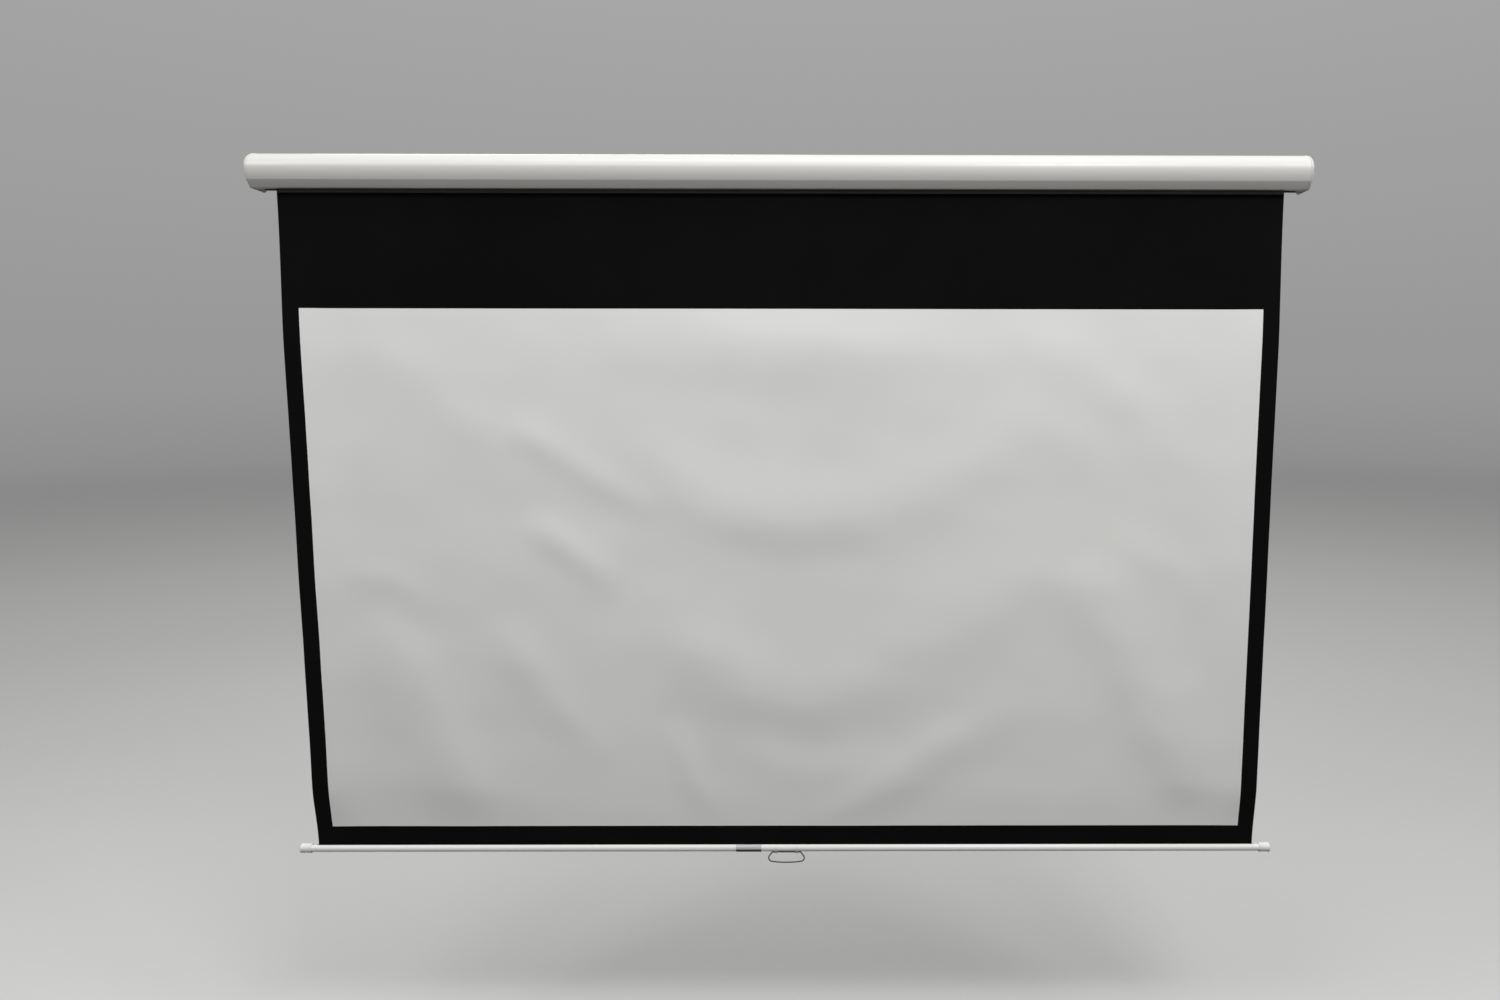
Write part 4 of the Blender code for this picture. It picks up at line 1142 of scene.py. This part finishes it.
disc_line = []
for i in range(180):
    a = 2.0 * i
    r = DISC_R
    for n in range(2):
        past = (a - 180 * n - 40) % 360
        if past < 24:
            r = DISC_R - 0.0018 * (1 - past / 24)
    disc_line.append(around(r, a))
disc = run("ratchet_disc_zinc", disc_line, [-1.1620, -1.1582], ZINC, 25)
cut(disc, [rod("bore", (-1.1640, *CENTRE), (-1.1560, *CENTRE), SPINDLE_R + GAP, 56)])
placed(disc, "casing", "zinc", "ratchet_disc")

SPRING_X0, SPRING_X1, SPRING_R, SPRING_WIRE = -1.1040, -0.8880, 0.0098, 0.0011


def tube_along(name, points, radius, sides, mats, closed=False, ends_flat=True):
    """A round wire along a smooth line of points."""
    pts = [Vector(p) for p in points]
    n = len(pts)
    bm = bmesh.new()
    rings, normal = [], None
    for i, p in enumerate(pts):
        before = pts[(i - 1) % n] if closed or i else pts[0]
        after = pts[(i + 1) % n] if closed or i < n - 1 else pts[-1]
        along = (after - before).normalized()
        if normal is None:
            normal = along.orthogonal().normalized()
        normal = (normal - along * normal.dot(along)).normalized()
        other = along.cross(normal)
        rings.append(
            [
                bm.verts.new(
                    p + (normal * math.cos(2 * math.pi * k / sides) + other * math.sin(2 * math.pi * k / sides)) * radius
                )
                for k in range(sides)
            ]
        )
    pairs = list(zip(rings, rings[1:])) + ([(rings[-1], rings[0])] if closed else [])
    for a, b in pairs:
        for k in range(sides):
            j = (k + 1) % sides
            bm.faces.new((a[k], a[j], b[j], b[k]))
    if not closed:
        bm.faces.new(rings[0][::-1])
        bm.faces.new(rings[-1])
    return to_object(name, bm, mats, 60)


spring_turns, per_turn = 84, 20
coil = []
for i in range(spring_turns * per_turn + 1):
    s = i / (spring_turns * per_turn)
    y, z = around(SPRING_R, 360 * i / per_turn)
    coil.append((SPRING_X0 + (SPRING_X1 - SPRING_X0) * s, y, z))
placed(
    tube_along("torsion_spring_coiled", coil, SPRING_WIRE, 10, SPRING_STEEL),
    "casing",
    "spring_steel",
    "torsion_spring",
)
placed(
    turned(
        "spring_collar_zinc",
        [
            (SPRING_X0 - 0.0015, SPINDLE_R + GAP),
            (SPRING_X0 - 0.0015, 0.0114),
            (SPRING_X0 - 0.0019, 0.0118),
            (SPRING_X0 - 0.0075, 0.0118),
            (SPRING_X0 - 0.0085, 0.0108),
            (SPRING_X0 - 0.0085, SPINDLE_R + GAP),
        ],
        CENTRE,
        ZINC,
        64,
    ),
    "casing",
    "zinc",
    "spring_collar",
)
anchor = turned(
    "spring_anchor_nylon",
    [
        (SPRING_X1 + 0.0020, SPINDLE_R + 0.0005),
        (SPRING_X1 + 0.0020, 0.0112),
        (SPRING_X1 + 0.0024, 0.0116),
        (SPRING_X1 + 0.0100, 0.0116),
        (SPRING_X1 + 0.0100, PLUG_R - 0.0004),
        (SPRING_X1 + 0.0104, PLUG_R),
        (SPRING_X1 + 0.0256, PLUG_R),
        (SPRING_X1 + 0.0260, PLUG_R - 0.0004),
        (SPRING_X1 + 0.0260, SPINDLE_R + 0.0005),
    ],
    CENTRE,
    BLACK_NYLON,
    72,
)
cut(anchor, [key_slot(SPRING_X1 - 0.004, SPRING_X1 + 0.035)])
placed(anchor, "roller", "black_nylon", "spring_anchor")

# ---------------------------------------------------------------- the sheet
SEAM = VIEW_LOW - 0.0100  # below this line the sheet moves with the slat
rng = np.random.default_rng(7)
# The folds that a hung sheet keeps: how soft each is above and below its crest, then the crest's
# line from left to right as (x, z, height in millimetres).
FOLDS = [
    # three broad swags across the middle, one below the other
    (0.060, 0.080, [(-0.49, -0.33, 0), (-0.35, -0.35, 4), (-0.19, -0.37, 8), (-0.05, -0.385, 12),
                    (0.09, -0.39, 12), (0.25, -0.40, 8), (0.39, -0.41, 5), (0.55, -0.405, 1), (0.64, -0.415, 0)]),
    (0.062, 0.055, [(-0.345, -0.585, 0), (-0.28, -0.68, 5), (-0.20, -0.75, 9), (-0.08, -0.78, 11),
                    (0.04, -0.79, 12), (0.18, -0.78, 9), (0.27, -0.75, 7), (0.39, -0.705, 5),
                    (0.51, -0.64, 4), (0.61, -0.585, 4), (0.72, -0.635, 3), (0.815, -0.74, 0)]),
    (0.070, 0.060, [(-0.39, -0.98, 0), (-0.285, -1.06, 4), (-0.20, -1.13, 8), (-0.11, -1.19, 10),
                    (0.01, -1.225, 9), (0.16, -1.205, 7), (0.28, -1.145, 5), (0.395, -1.06, 5),
                    (0.51, -0.985, 5), (0.62, -0.94, 4), (0.69, -0.965, 3), (0.75, -1.015, 0)]),
    # short slanting ones on the left
    (0.026, 0.028, [(-0.615, -0.79, 0), (-0.55, -0.835, 5), (-0.47, -0.895, 5), (-0.38, -0.965, 0)]),
    (0.026, 0.026, [(-0.645, -0.57, 0), (-0.58, -0.61, 4), (-0.475, -0.675, 4), (-0.35, -0.75, 3), (-0.29, -0.79, 0)]),
    (0.034, 0.040, [(-0.685, -1.015, 0), (-0.645, -1.10, 4), (-0.565, -1.225, 5), (-0.485, -1.33, 4), (-0.435, -1.40, 0)]),
    (0.026, 0.028, [(-1.08, -0.925, 0), (-1.00, -0.925, 3), (-0.91, -0.945, 3), (-0.855, -1.015, 1), (-0.83, -1.09, 0)]),
    (0.040, 0.042, [(-1.01, -0.325, 0), (-0.915, -0.41, 2.5), (-0.815, -0.495, 3), (-0.705, -0.595, 3), (-0.625, -0.66, 0)]),
    # the steep pair towards the lower corners
    (0.050, 0.070, [(-0.985, -1.02, 0), (-0.92, -1.12, 8), (-0.855, -1.25, 12), (-0.81, -1.38, 12), (-0.76, -1.52, 8)]),
    (0.070, 0.050, [(0.675, -0.895, 0), (0.75, -0.985, 8), (0.82, -1.125, 12), (0.885, -1.26, 14),
                    (0.95, -1.375, 12), (1.02, -1.49, 5), (1.06, -1.55, 0)]),
    # lower middle and right
    (0.036, 0.045, [(0.085, -1.565, 5), (0.18, -1.495, 7), (0.28, -1.42, 8), (0.385, -1.345, 6),
                    (0.48, -1.30, 4), (0.605, -1.265, 2), (0.725, -1.285, 1), (0.785, -1.31, 0)]),
    (0.024, 0.024, [(-0.28, -1.275, 0), (-0.25, -1.36, 4), (-0.215, -1.46, 4), (-0.18, -1.54, 2)]),
    (0.046, 0.050, [(0.48, -0.36, 0), (0.605, -0.405, 4), (0.735, -0.465, 5), (0.845, -0.565, 4), (0.94, -0.695, 2), (0.99, -0.775, 0)]),
    (0.030, 0.034, [(0.72, -0.785, 0), (0.845, -0.87, 3), (0.94, -0.925, 3), (1.025, -1.015, 0)]),
    (0.040, 0.036, [(-0.11, -1.31, 0), (-0.015, -1.40, 3), (0.11, -1.415, 4), (0.23, -1.385, 2), (0.275, -1.36, 0)]),
]
SMALL = [
    (rng.uniform(0.00005, 0.00016), *rng.normal(0, 1, 2), rng.uniform(0.10, 0.34), rng.uniform(0, 6.28))
    for _ in range(14)
]


def ease(v, low, high):
    s = np.clip((v - low) / (high - low), 0, 1)
    return s * s * (3 - 2 * s)


def bell(v, centre, width):
    return np.exp(-0.5 * ((v - centre) / width) ** 2)


def crest(points, per=14):
    """A smooth line through the points of a fold: x, z and height, with the upward normal."""
    p = np.array(points, dtype=float)
    p = np.concatenate([[2 * p[0] - p[1]], p, [2 * p[-1] - p[-2]]])
    s = np.linspace(0, 1, per, endpoint=False)[:, None]
    out = []
    for a, b, c, d in zip(p, p[1:], p[2:], p[3:]):
        out.append(0.5 * (2 * b + (c - a) * s + (2 * a - 5 * b + 4 * c - d) * s**2 + (3 * b - a - 3 * c + d) * s**3))
    line = np.concatenate(out + [p[-2:-1]])
    along = np.gradient(line[:, :2], axis=0)
    up = np.stack([-along[:, 1], along[:, 0]], -1)
    up /= np.linalg.norm(up, axis=1)[:, None]
    up[up[:, 1] < 0] *= -1
    return line, up


def fold(x, z, above, below, points):
    """A ridge along a crest, falling off at its own rate above and below it."""
    line, up = crest(points)
    near, best = np.full(x.shape, 1e9), np.zeros(x.shape, dtype=int)
    for i, (px, pz, _) in enumerate(line):
        d = (x - px) ** 2 + (z - pz) ** 2
        closer = d < near
        near[closer], best[closer] = d[closer], i
    side = (x - line[best, 0]) * up[best, 0] + (z - line[best, 1]) * up[best, 1]
    width = above + (below - above) * (1 - ease(side, -0.020, 0.020))
    return np.clip(line[best, 2], 0, None) * 0.001 * np.exp(-0.5 * near / width**2)


def softened(field, dx, dz, radius):
    """The field, blurred so that neighbouring folds run into each other."""
    for axis, step in ((1, dx), (0, dz)):
        n = max(1, round(3 * radius / step))
        k = np.exp(-0.5 * (np.arange(-n, n + 1) * step / radius) ** 2)
        pad = [(0, 0), (0, 0)]
        pad[axis] = (n, n)
        field = np.apply_along_axis(lambda v: np.convolve(v, k / k.sum(), mode="valid"), axis, np.pad(field, pad, mode="edge"))
    return field


MAP_X, MAP_Z = np.linspace(-1.16, 1.16, 291), np.linspace(-1.62, 0.02, 206)
_gx, _gz = np.meshgrid(MAP_X, MAP_Z)
FOLD_MAP = softened(
    sum(fold(_gx, _gz, *f) for f in FOLDS), MAP_X[1] - MAP_X[0], MAP_Z[1] - MAP_Z[0], 0.010
)


def standing(x, z):
    """How far the sheet stands in front of its plane: the folds, a slow wave, edges that curl forward."""
    u = (x - MAP_X[0]) / (MAP_X[1] - MAP_X[0])
    w = (z - MAP_Z[0]) / (MAP_Z[1] - MAP_Z[0])
    i, j = np.clip(u.astype(int), 0, len(MAP_X) - 2), np.clip(w.astype(int), 0, len(MAP_Z) - 2)
    u, w = u - i, w - j
    folds = (FOLD_MAP[j, i] * (1 - u) + FOLD_MAP[j, i + 1] * u) * (1 - w) + (
        FOLD_MAP[j + 1, i] * (1 - u) + FOLD_MAP[j + 1, i + 1] * u
    ) * w
    folds = 0.76 * 0.022 * np.tanh(folds / 0.022) * (1 - 0.75 * ease(np.abs(x), 0.98, 1.12))
    slow = 0.0006 * (1 + np.sin(2 * np.pi * (z + 0.10 * np.cos(2.2 * x)) / 0.55 + 0.6))
    curl = 0.0090 * ease(np.abs(x), 1.00, 1.145)
    fine = sum(a * (1 + np.sin((u * x + w * z) / np.hypot(u, w) * 2 * np.pi / l + p)) for a, u, w, l, p in SMALL)
    total = folds + slow + curl + fine
    return total * ease(-z, 0.050, 0.42) * ease(z, -1.592, -1.44)


def sheet_piece(name, zs, step_x):
    """A closed sheet through the heights zs: white and black faces in front, a black back."""
    xs = np.unique(
        np.round(
            np.concatenate(
                [
                    np.linspace(-FABRIC_HALF, -VIEW_HALF, 5),
                    np.linspace(-VIEW_HALF, VIEW_HALF, round(2 * VIEW_HALF / step_x)),
                    np.linspace(VIEW_HALF, FABRIC_HALF, 5),
                ]
            ),
            6,
        )
    )
    nx, nz = len(xs), len(zs)
    gx, gz = np.meshgrid(xs, zs)
    off = standing(gx, gz)
    half = 0.0003
    front = np.stack([gx, FABRIC_Y - off - half, gz], -1).reshape(-1, 3)
    back = np.stack([gx, FABRIC_Y - off + half, gz], -1).reshape(-1, 3)
    verts = np.concatenate([front, back])
    m = nx * nz
    faces, mats = [], []
    for r in range(nz - 1):
        zc = (zs[r] + zs[r + 1]) / 2
        for c in range(nx - 1):
            a, b, d, e = r * nx + c, r * nx + c + 1, (r + 1) * nx + c + 1, (r + 1) * nx + c
            xc = (xs[c] + xs[c + 1]) / 2
            white = abs(xc) < VIEW_HALF and VIEW_LOW < zc < VIEW_TOP
            faces.append((a, e, d, b))
            mats.append(0 if white else 1)
            faces.append((a + m, b + m, d + m, e + m))
            mats.append(2)
    for r in range(nz - 1):
        a, e = r * nx, (r + 1) * nx
        faces.append((a, a + m, e + m, e))
        b, d = r * nx + nx - 1, (r + 1) * nx + nx - 1
        faces.append((b, d, d + m, b + m))
        mats += [1, 1]
    for c in range(nx - 1):
        a, b = c, c + 1
        faces.append((a, b, b + m, a + m))
        e, d = (nz - 1) * nx + c, (nz - 1) * nx + c + 1
        faces.append((e, e + m, d + m, d))
        mats += [1, 1]
    mesh = bpy.data.meshes.new(name)
    mesh.from_pydata(verts.tolist(), [], faces)
    for mat in (WHITE_FACE, BLACK_FACE, BACK_FACE):
        mesh.materials.append(mat)
    mesh.polygons.foreach_set("material_index", mats)
    mesh.validate()
    bm = bmesh.new()
    bm.from_mesh(mesh)
    bmesh.ops.recalc_face_normals(bm, faces=bm.faces)
    bm.to_mesh(mesh)
    bm.free()
    mesh.shade_smooth()
    mesh.set_sharp_from_angle(angle=math.radians(50))
    obj = bpy.data.objects.new(name, mesh)
    bpy.context.scene.collection.objects.link(obj)
    return obj


upper_z = np.concatenate(
    [
        np.linspace(ROLLER_Z, VIEW_TOP, 24),
        np.linspace(VIEW_TOP, VIEW_LOW, 112)[1:],
        np.linspace(VIEW_LOW, SEAM, 3)[1:],
    ]
)
lower_z = np.concatenate([np.linspace(SEAM, -1.5900, 5), np.linspace(-1.5900, FABRIC_END, 4)[1:]])
screen = sheet_piece("screen_sheet", upper_z, 0.0118)
placed(screen, "casing", "screen_fabric", "screen_fabric")
hem = sheet_piece("screen_sheet_lower_border", lower_z, 0.0118)
placed(hem, "slat", "screen_fabric")
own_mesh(screen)

# ---------------------------------------------------------------- slat
slot_angle = math.degrees(math.asin(SLAT_SLOT / 2 / SLAT_R))
slot_inside = math.degrees(math.asin(SLAT_SLOT / 2 / (SLAT_R - SLAT_T)))
slat_line = (
    arc(*SLAT, SLAT_R, SLAT_R, 90 + slot_angle + 1.6, 450 - slot_angle - 1.6, 96)
    + arc(*SLAT, SLAT_R - 0.00025, SLAT_R - 0.00025, 450 - slot_angle - 0.4, 450 - slot_angle, 1)
    + arc(*SLAT, SLAT_R - SLAT_T + 0.0002, SLAT_R - SLAT_T + 0.0002, 450 - slot_inside + 0.6, 450 - slot_inside, 1)
    + arc(*SLAT, SLAT_R - SLAT_T, SLAT_R - SLAT_T, 450 - slot_inside - 1.6, 90 + slot_inside + 1.6, 96)
    + arc(*SLAT, SLAT_R - SLAT_T + 0.0002, SLAT_R - SLAT_T + 0.0002, 90 + slot_inside, 90 + slot_inside - 0.6, 1)
    + arc(*SLAT, SLAT_R - 0.00025, SLAT_R - 0.00025, 90 + slot_angle, 90 + slot_angle + 0.4, 1)
)
placed(
    run("slat_tube_coated", slat_line, even(-SLAT_HALF, SLAT_HALF, 0.12), SLAT_WHITE),
    "slat",
    "slat_white",
    "slat_tube",
)
placed(
    turned(
        "hem_rod_steel",
        [
            (-FABRIC_HALF + 0.002, 0),
            (-FABRIC_HALF + 0.002, HEM_R - 0.0004),
            (-FABRIC_HALF + 0.0024, HEM_R),
            (FABRIC_HALF - 0.0024, HEM_R),
            (FABRIC_HALF - 0.002, HEM_R - 0.0004),
            (FABRIC_HALF - 0.002, 0),
        ],
        (FABRIC_Y, FABRIC_END - GAP - HEM_R),
        ROLLER_STEEL,
        40,
    ),
    "slat",
    "roller_steel",
    "hem_rod",
)
for word, side in (("left", -1), ("right", 1)):
    crown = [
        (CAP_END - 0.0019 * (1 - math.sin(math.radians(a))), CAP_R - 0.0019 * (1 - math.cos(math.radians(a))))
        for a in (90, 80, 70, 60, 50, 40, 30, 20, 10, 0)
    ]
    profile = (
        [(CAP_END - 0.0003, 0), (CAP_END - 0.0003, 0.0060), (CAP_END, 0.0066)]
        + crown
        + [
            (CAP_END - 0.0034, CAP_R),
            (CAP_END - 0.0044, CAP_R - 0.0002),
            (CAP_END - 0.0056, CAP_R - 0.0005),
            (CAP_LIP + 0.0060, CAP_R - 0.0005),
            (CAP_LIP + 0.0038, CAP_R - 0.0002),
            (CAP_LIP + 0.0028, CAP_R),
            (CAP_LIP + 0.0006, CAP_R),
            (CAP_LIP + 0.0002, CAP_R - 0.0002),
            (CAP_LIP, CAP_R - 0.0006),
            (CAP_LIP, SLAT_R + 0.0004),
            (SLAT_HALF + GAP, SLAT_R + 0.0004),
            (SLAT_HALF + GAP, SLAT_R - SLAT_T - 0.0004),
            (1.1510, SLAT_R - SLAT_T - 0.0004),
            (1.1495, SLAT_R - SLAT_T - 0.0014),
            (1.1495, 0),
        ]
    )
    placed(
        turned(f"slat_cap_{word}_moulded", [(side * x, r) for x, r in profile], SLAT, SLAT_CAP_PLASTIC, 72),
        "slat",
        "cap_white",
        f"slat_cap_{word}",
    )

# ---------------------------------------------------------------- pull handle
BAND_IN, BAND_OUT = SLAT_R + GAP, SLAT_R + 0.0014
for word, side in (("left", -1), ("right", 1)):
    x = side * CLIP_X
    band = run(
        f"handle_clip_{word}_moulded",
        arc(*SLAT, BAND_OUT, BAND_OUT, 270 - 118, 270 + 118, 60)
        + arc(*SLAT, BAND_IN, BAND_IN, 270 + 118, 270 - 118, 60),
        [x - CLIP_W / 2, x + CLIP_W / 2],
        CLIP_PLASTIC,
    )
    cut(band, [rod("eye", (x - CLIP_W / 2, FABRIC_Y, BAIL_Z), (x + CLIP_W / 2, FABRIC_Y, BAIL_Z), WIRE_R + 0.0015, 48)], "UNION")
    cut(band, [rod("trim", (x - CLIP_W, *SLAT), (x + CLIP_W, *SLAT), BAND_IN, 120)])
    cut(band, [rod("hole", (x - CLIP_W, FABRIC_Y, BAIL_Z), (x + CLIP_W, FABRIC_Y, BAIL_Z), WIRE_R + 0.0003, 40)])
    placed(band, "slat", "cap_white", f"handle_clip_{word}")


def smooth_loop(points, per=6):
    """A closed Catmull-Rom line through points."""
    out, n = [], len(points)
    for i in range(n):
        p0, p1, p2, p3 = (np.array(points[(i + k) % n]) for k in (-1, 0, 1, 2))
        for j in range(per):
            s = j / per
            out.append(
                tuple(
                    0.5
                    * (
                        2 * p1
                        + (p2 - p0) * s
                        + (2 * p0 - 5 * p1 + 4 * p2 - p3) * s * s
                        + (3 * p1 - p0 - 3 * p2 + p3) * s**3
                    )
                )
            )
    return out


def bail_line():
    def corner(cx, cz, r, start, end, n):
        return [
            (
                cx + r * math.cos(math.radians(start + (end - start) * i / n)),
                cz + r * math.sin(math.radians(start + (end - start) * i / n)),
            )
            for i in range(n + 1)
        ]

    low = BAIL_Z - BAIL_DROP
    half = [(0.0, BAIL_Z), (0.0110, BAIL_Z), (0.0215, BAIL_Z), (0.0300, BAIL_Z)]
    half += corner(BAIL_TOP_HALF, BAIL_Z - 0.0030, 0.0030, 90, 30, 3)
    half += corner(BAIL_HALF - 0.0090, BAIL_Z - 0.0155, 0.0090, 28, -75, 7)
    half += [(0.0240, low + 0.0009), (0.0120, low + 0.0002)]
    points = half + [(0.0, low)] + [(-x, z) for x, z in half[:0:-1]]
    return [(x, FABRIC_Y, z) for x, z in points]


placed(
    tube_along("handle_bail_wire", smooth_loop(bail_line()), WIRE_R + 0.0001, 20, BAIL_STEEL, closed=True),
    "handle",
    "bail_wire",
    "handle_bail",
)

# ---------------------------------------------------------------- plate on the slat
PLATE_IN, PLATE_OUT = SLAT_R + GAP, SLAT_R + 0.0011
plate_section = (
    arc(*SLAT, PLATE_OUT, PLATE_OUT, 109.5, 260.5, 76)
    + arc(*SLAT, PLATE_OUT - 0.0003, PLATE_OUT - 0.0003, 262, 262, 1)[:1]
    + arc(*SLAT, PLATE_IN, PLATE_IN, 262, 108, 76)
    + arc(*SLAT, PLATE_OUT - 0.0003, PLATE_OUT - 0.0003, 108, 108, 1)[:1]
)


def plate_face(a, b):
    """The plate's lower strip, from just below its widest point, is dark."""
    y, z = (a[0] + b[0]) / 2 - SLAT[0], (a[1] + b[1]) / 2 - SLAT[1]
    outside = math.hypot(y, z) > PLATE_IN + 0.0003
    return 1 if outside and z < -0.0001 else 0


placed(
    run(
        "slat_nameplate_blank",
        plate_section,
        chamfered(PLATE_X0, PLATE_X1, 0.02),
        [PLATE_LIGHT, PLATE_DARK],
        32,
        plate_face,
    ),
    "slat",
    "plate_grey",
    "slat_nameplate",
)

# ---------------------------------------------------------------- floor, light and camera
scene = bpy.context.scene
FLOOR_Z = -2.2500


def studio_floor():
    bm = bmesh.new()
    bmesh.ops.create_circle(bm, cap_ends=True, segments=128, radius=26.0)
    mesh = bpy.data.meshes.new("studio_floor")
    bm.to_mesh(mesh)
    bm.free()
    mat = bpy.data.materials.new("studio_floor")
    mat.use_nodes = True
    tree = mat.node_tree
    shader = tree.nodes["Principled BSDF"]
    shader.inputs["Roughness"].default_value = 0.75
    out = tree.nodes["Material Output"]
    where = tree.nodes.new("ShaderNodeTexCoord")
    grain = tree.nodes.new("ShaderNodeTexNoise")
    grain.inputs["Scale"].default_value = 40.0
    tree.links.new(where.outputs["Object"], grain.inputs["Vector"])
    tone = tree.nodes.new("ShaderNodeMix")
    tone.data_type = "RGBA"
    tone.inputs[6].default_value = (0.70, 0.70, 0.69, 1)
    tone.inputs[7].default_value = (0.72, 0.72, 0.71, 1)
    tree.links.new(grain.outputs["Fac"], tone.inputs[0])
    tree.links.new(tone.outputs[2], shader.inputs["Base Color"])
    far = tree.nodes.new("ShaderNodeVectorMath")
    far.operation = "LENGTH"
    tree.links.new(where.outputs["Object"], far.inputs[0])
    fade = tree.nodes.new("ShaderNodeMapRange")
    fade.interpolation_type = "SMOOTHSTEP"
    for i, v in enumerate((5.0, 25.0, 0.0, 1.0)):
        fade.inputs[1 + i].default_value = v
    tree.links.new(far.outputs["Value"], fade.inputs["Value"])
    clear = tree.nodes.new("ShaderNodeBsdfTransparent")
    both = tree.nodes.new("ShaderNodeMixShader")
    tree.links.new(fade.outputs["Result"], both.inputs[0])
    tree.links.new(shader.outputs[0], both.inputs[1])
    tree.links.new(clear.outputs[0], both.inputs[2])
    tree.links.new(both.outputs[0], out.inputs[0])
    mesh.materials.append(mat)
    obj = bpy.data.objects.new("studio_floor", mesh)
    obj.location = (0.0, -0.30, FLOOR_Z)
    obj.visible_diffuse = False
    scene.collection.objects.link(obj)


studio_floor()


def soft_box(name, location, target, width, height, power, colour=(1, 1, 1)):
    light = bpy.data.lights.new(name, "AREA")
    light.shape = "RECTANGLE"
    light.size, light.size_y = width, height
    light.energy = power
    light.color = colour
    obj = bpy.data.objects.new(name, light)
    obj.location = location
    obj.rotation_euler = (Vector(target) - Vector(location)).to_track_quat("-Z", "Y").to_euler()
    obj.visible_camera = False
    scene.collection.objects.link(obj)
    return obj


MIDDLE = (0.0, -0.05, -0.60)
soft_box("high_left", (-1.3, -2.6, 2.2), MIDDLE, 1.3, 0.6, 18.0)
soft_box("high_right", (1.3, -2.6, 2.2), MIDDLE, 1.3, 0.6, 48.0, (1.0, 0.997, 0.990))
soft_box("overhead", (0.0, -0.9, 2.9), MIDDLE, 3.4, 0.8, 33.0, (1.0, 0.998, 0.994))
soft_box("side_left", (-3.0, -2.2, 1.8), (0.0, -0.05, -0.60), 0.8, 1.6, 26.5)
soft_box("side_right", (3.0, -2.2, 1.8), (0.0, -0.05, -0.60), 0.8, 1.6, 26.0)
soft_box("rear", (-1.4, 2.9, 1.5), (0.0, 0.0, -0.7), 2.6, 1.6, 24.0)

world = bpy.data.worlds.new("studio")
world.use_nodes = True
scene.world = world
tree = world.node_tree
back = tree.nodes["Background"]
where = tree.nodes.new("ShaderNodeTexCoord")
split = tree.nodes.new("ShaderNodeSeparateXYZ")
tree.links.new(where.outputs["Generated"], split.inputs[0])
up = tree.nodes.new("ShaderNodeMapRange")
for i, v in enumerate((-1.0, 1.0, 0.0, 1.0)):
    up.inputs[1 + i].default_value = v
tree.links.new(split.outputs["Z"], up.inputs["Value"])


def tone_ramp(*levels):
    ramp = tree.nodes.new("ShaderNodeValToRGB")
    for element, (at, level) in zip(ramp.color_ramp.elements, (levels[0], levels[-1])):
        element.position, element.color = at, (level, level, level, 1)
    for at, level in levels[1:-1]:
        ramp.color_ramp.elements.new(at).color = (level, level, level, 1)
    tree.links.new(up.outputs["Result"], ramp.inputs[0])
    return ramp


# pale behind the screen; darker low down in front of it, so that the casing's underside stays in shade
behind = tone_ramp((0.0, 0.11), (0.325, 0.06), (0.430, 0.09), (0.468, 0.27), (0.5, 0.31), (0.675, 0.38), (1.0, 0.66))
before = tone_ramp((0.0, 0.05), (0.45, 0.05), (0.5, 0.12), (0.62, 0.24), (0.75, 0.42), (1.0, 0.66))
side = tree.nodes.new("ShaderNodeMapRange")
side.interpolation_type = "SMOOTHSTEP"
for i, v in enumerate((-0.45, 0.15, 0.0, 1.0)):
    side.inputs[1 + i].default_value = v
tree.links.new(split.outputs["Y"], side.inputs["Value"])
both = tree.nodes.new("ShaderNodeMix")
both.data_type = "RGBA"
tree.links.new(side.outputs["Result"], both.inputs[0])
tree.links.new(before.outputs[0], both.inputs[6])
tree.links.new(behind.outputs[0], both.inputs[7])
tree.links.new(both.outputs[2], back.inputs[0])
back.inputs[1].default_value = 1.0

scene.view_settings.view_transform = "Standard"
scene.view_settings.look = "None"

camera_data = bpy.data.cameras.new("camera")
camera_data.sensor_fit = "HORIZONTAL"
camera_data.sensor_width = 36.0
camera_data.lens = 930.0 / 1500.0 * 36.0
camera_data.shift_x = -(854.084 - 750.0) / 1500.0
camera_data.shift_y = (496.586 - 500.0) / 1500.0
camera_data.clip_start, camera_data.clip_end = 0.05, 60.0
camera = bpy.data.objects.new("camera", camera_data)
yaw, pitch, roll = 0.00472, 0.10924, 0.00099
ahead = Vector((math.sin(yaw) * math.cos(pitch), math.cos(yaw) * math.cos(pitch), -math.sin(pitch)))
right = Vector((math.cos(yaw), -math.sin(yaw), 0.0))
above = right.cross(ahead)
r = right * math.cos(roll) + above * math.sin(roll)
u = -right * math.sin(roll) + above * math.cos(roll)
turn = Matrix((r, u, -ahead)).transposed().to_4x4()
camera.matrix_world = Matrix.Translation((0.15512, -2.17811 + FABRIC_Y, -0.19585 + VIEW_TOP)) @ turn
scene.collection.objects.link(camera)
scene.camera = camera
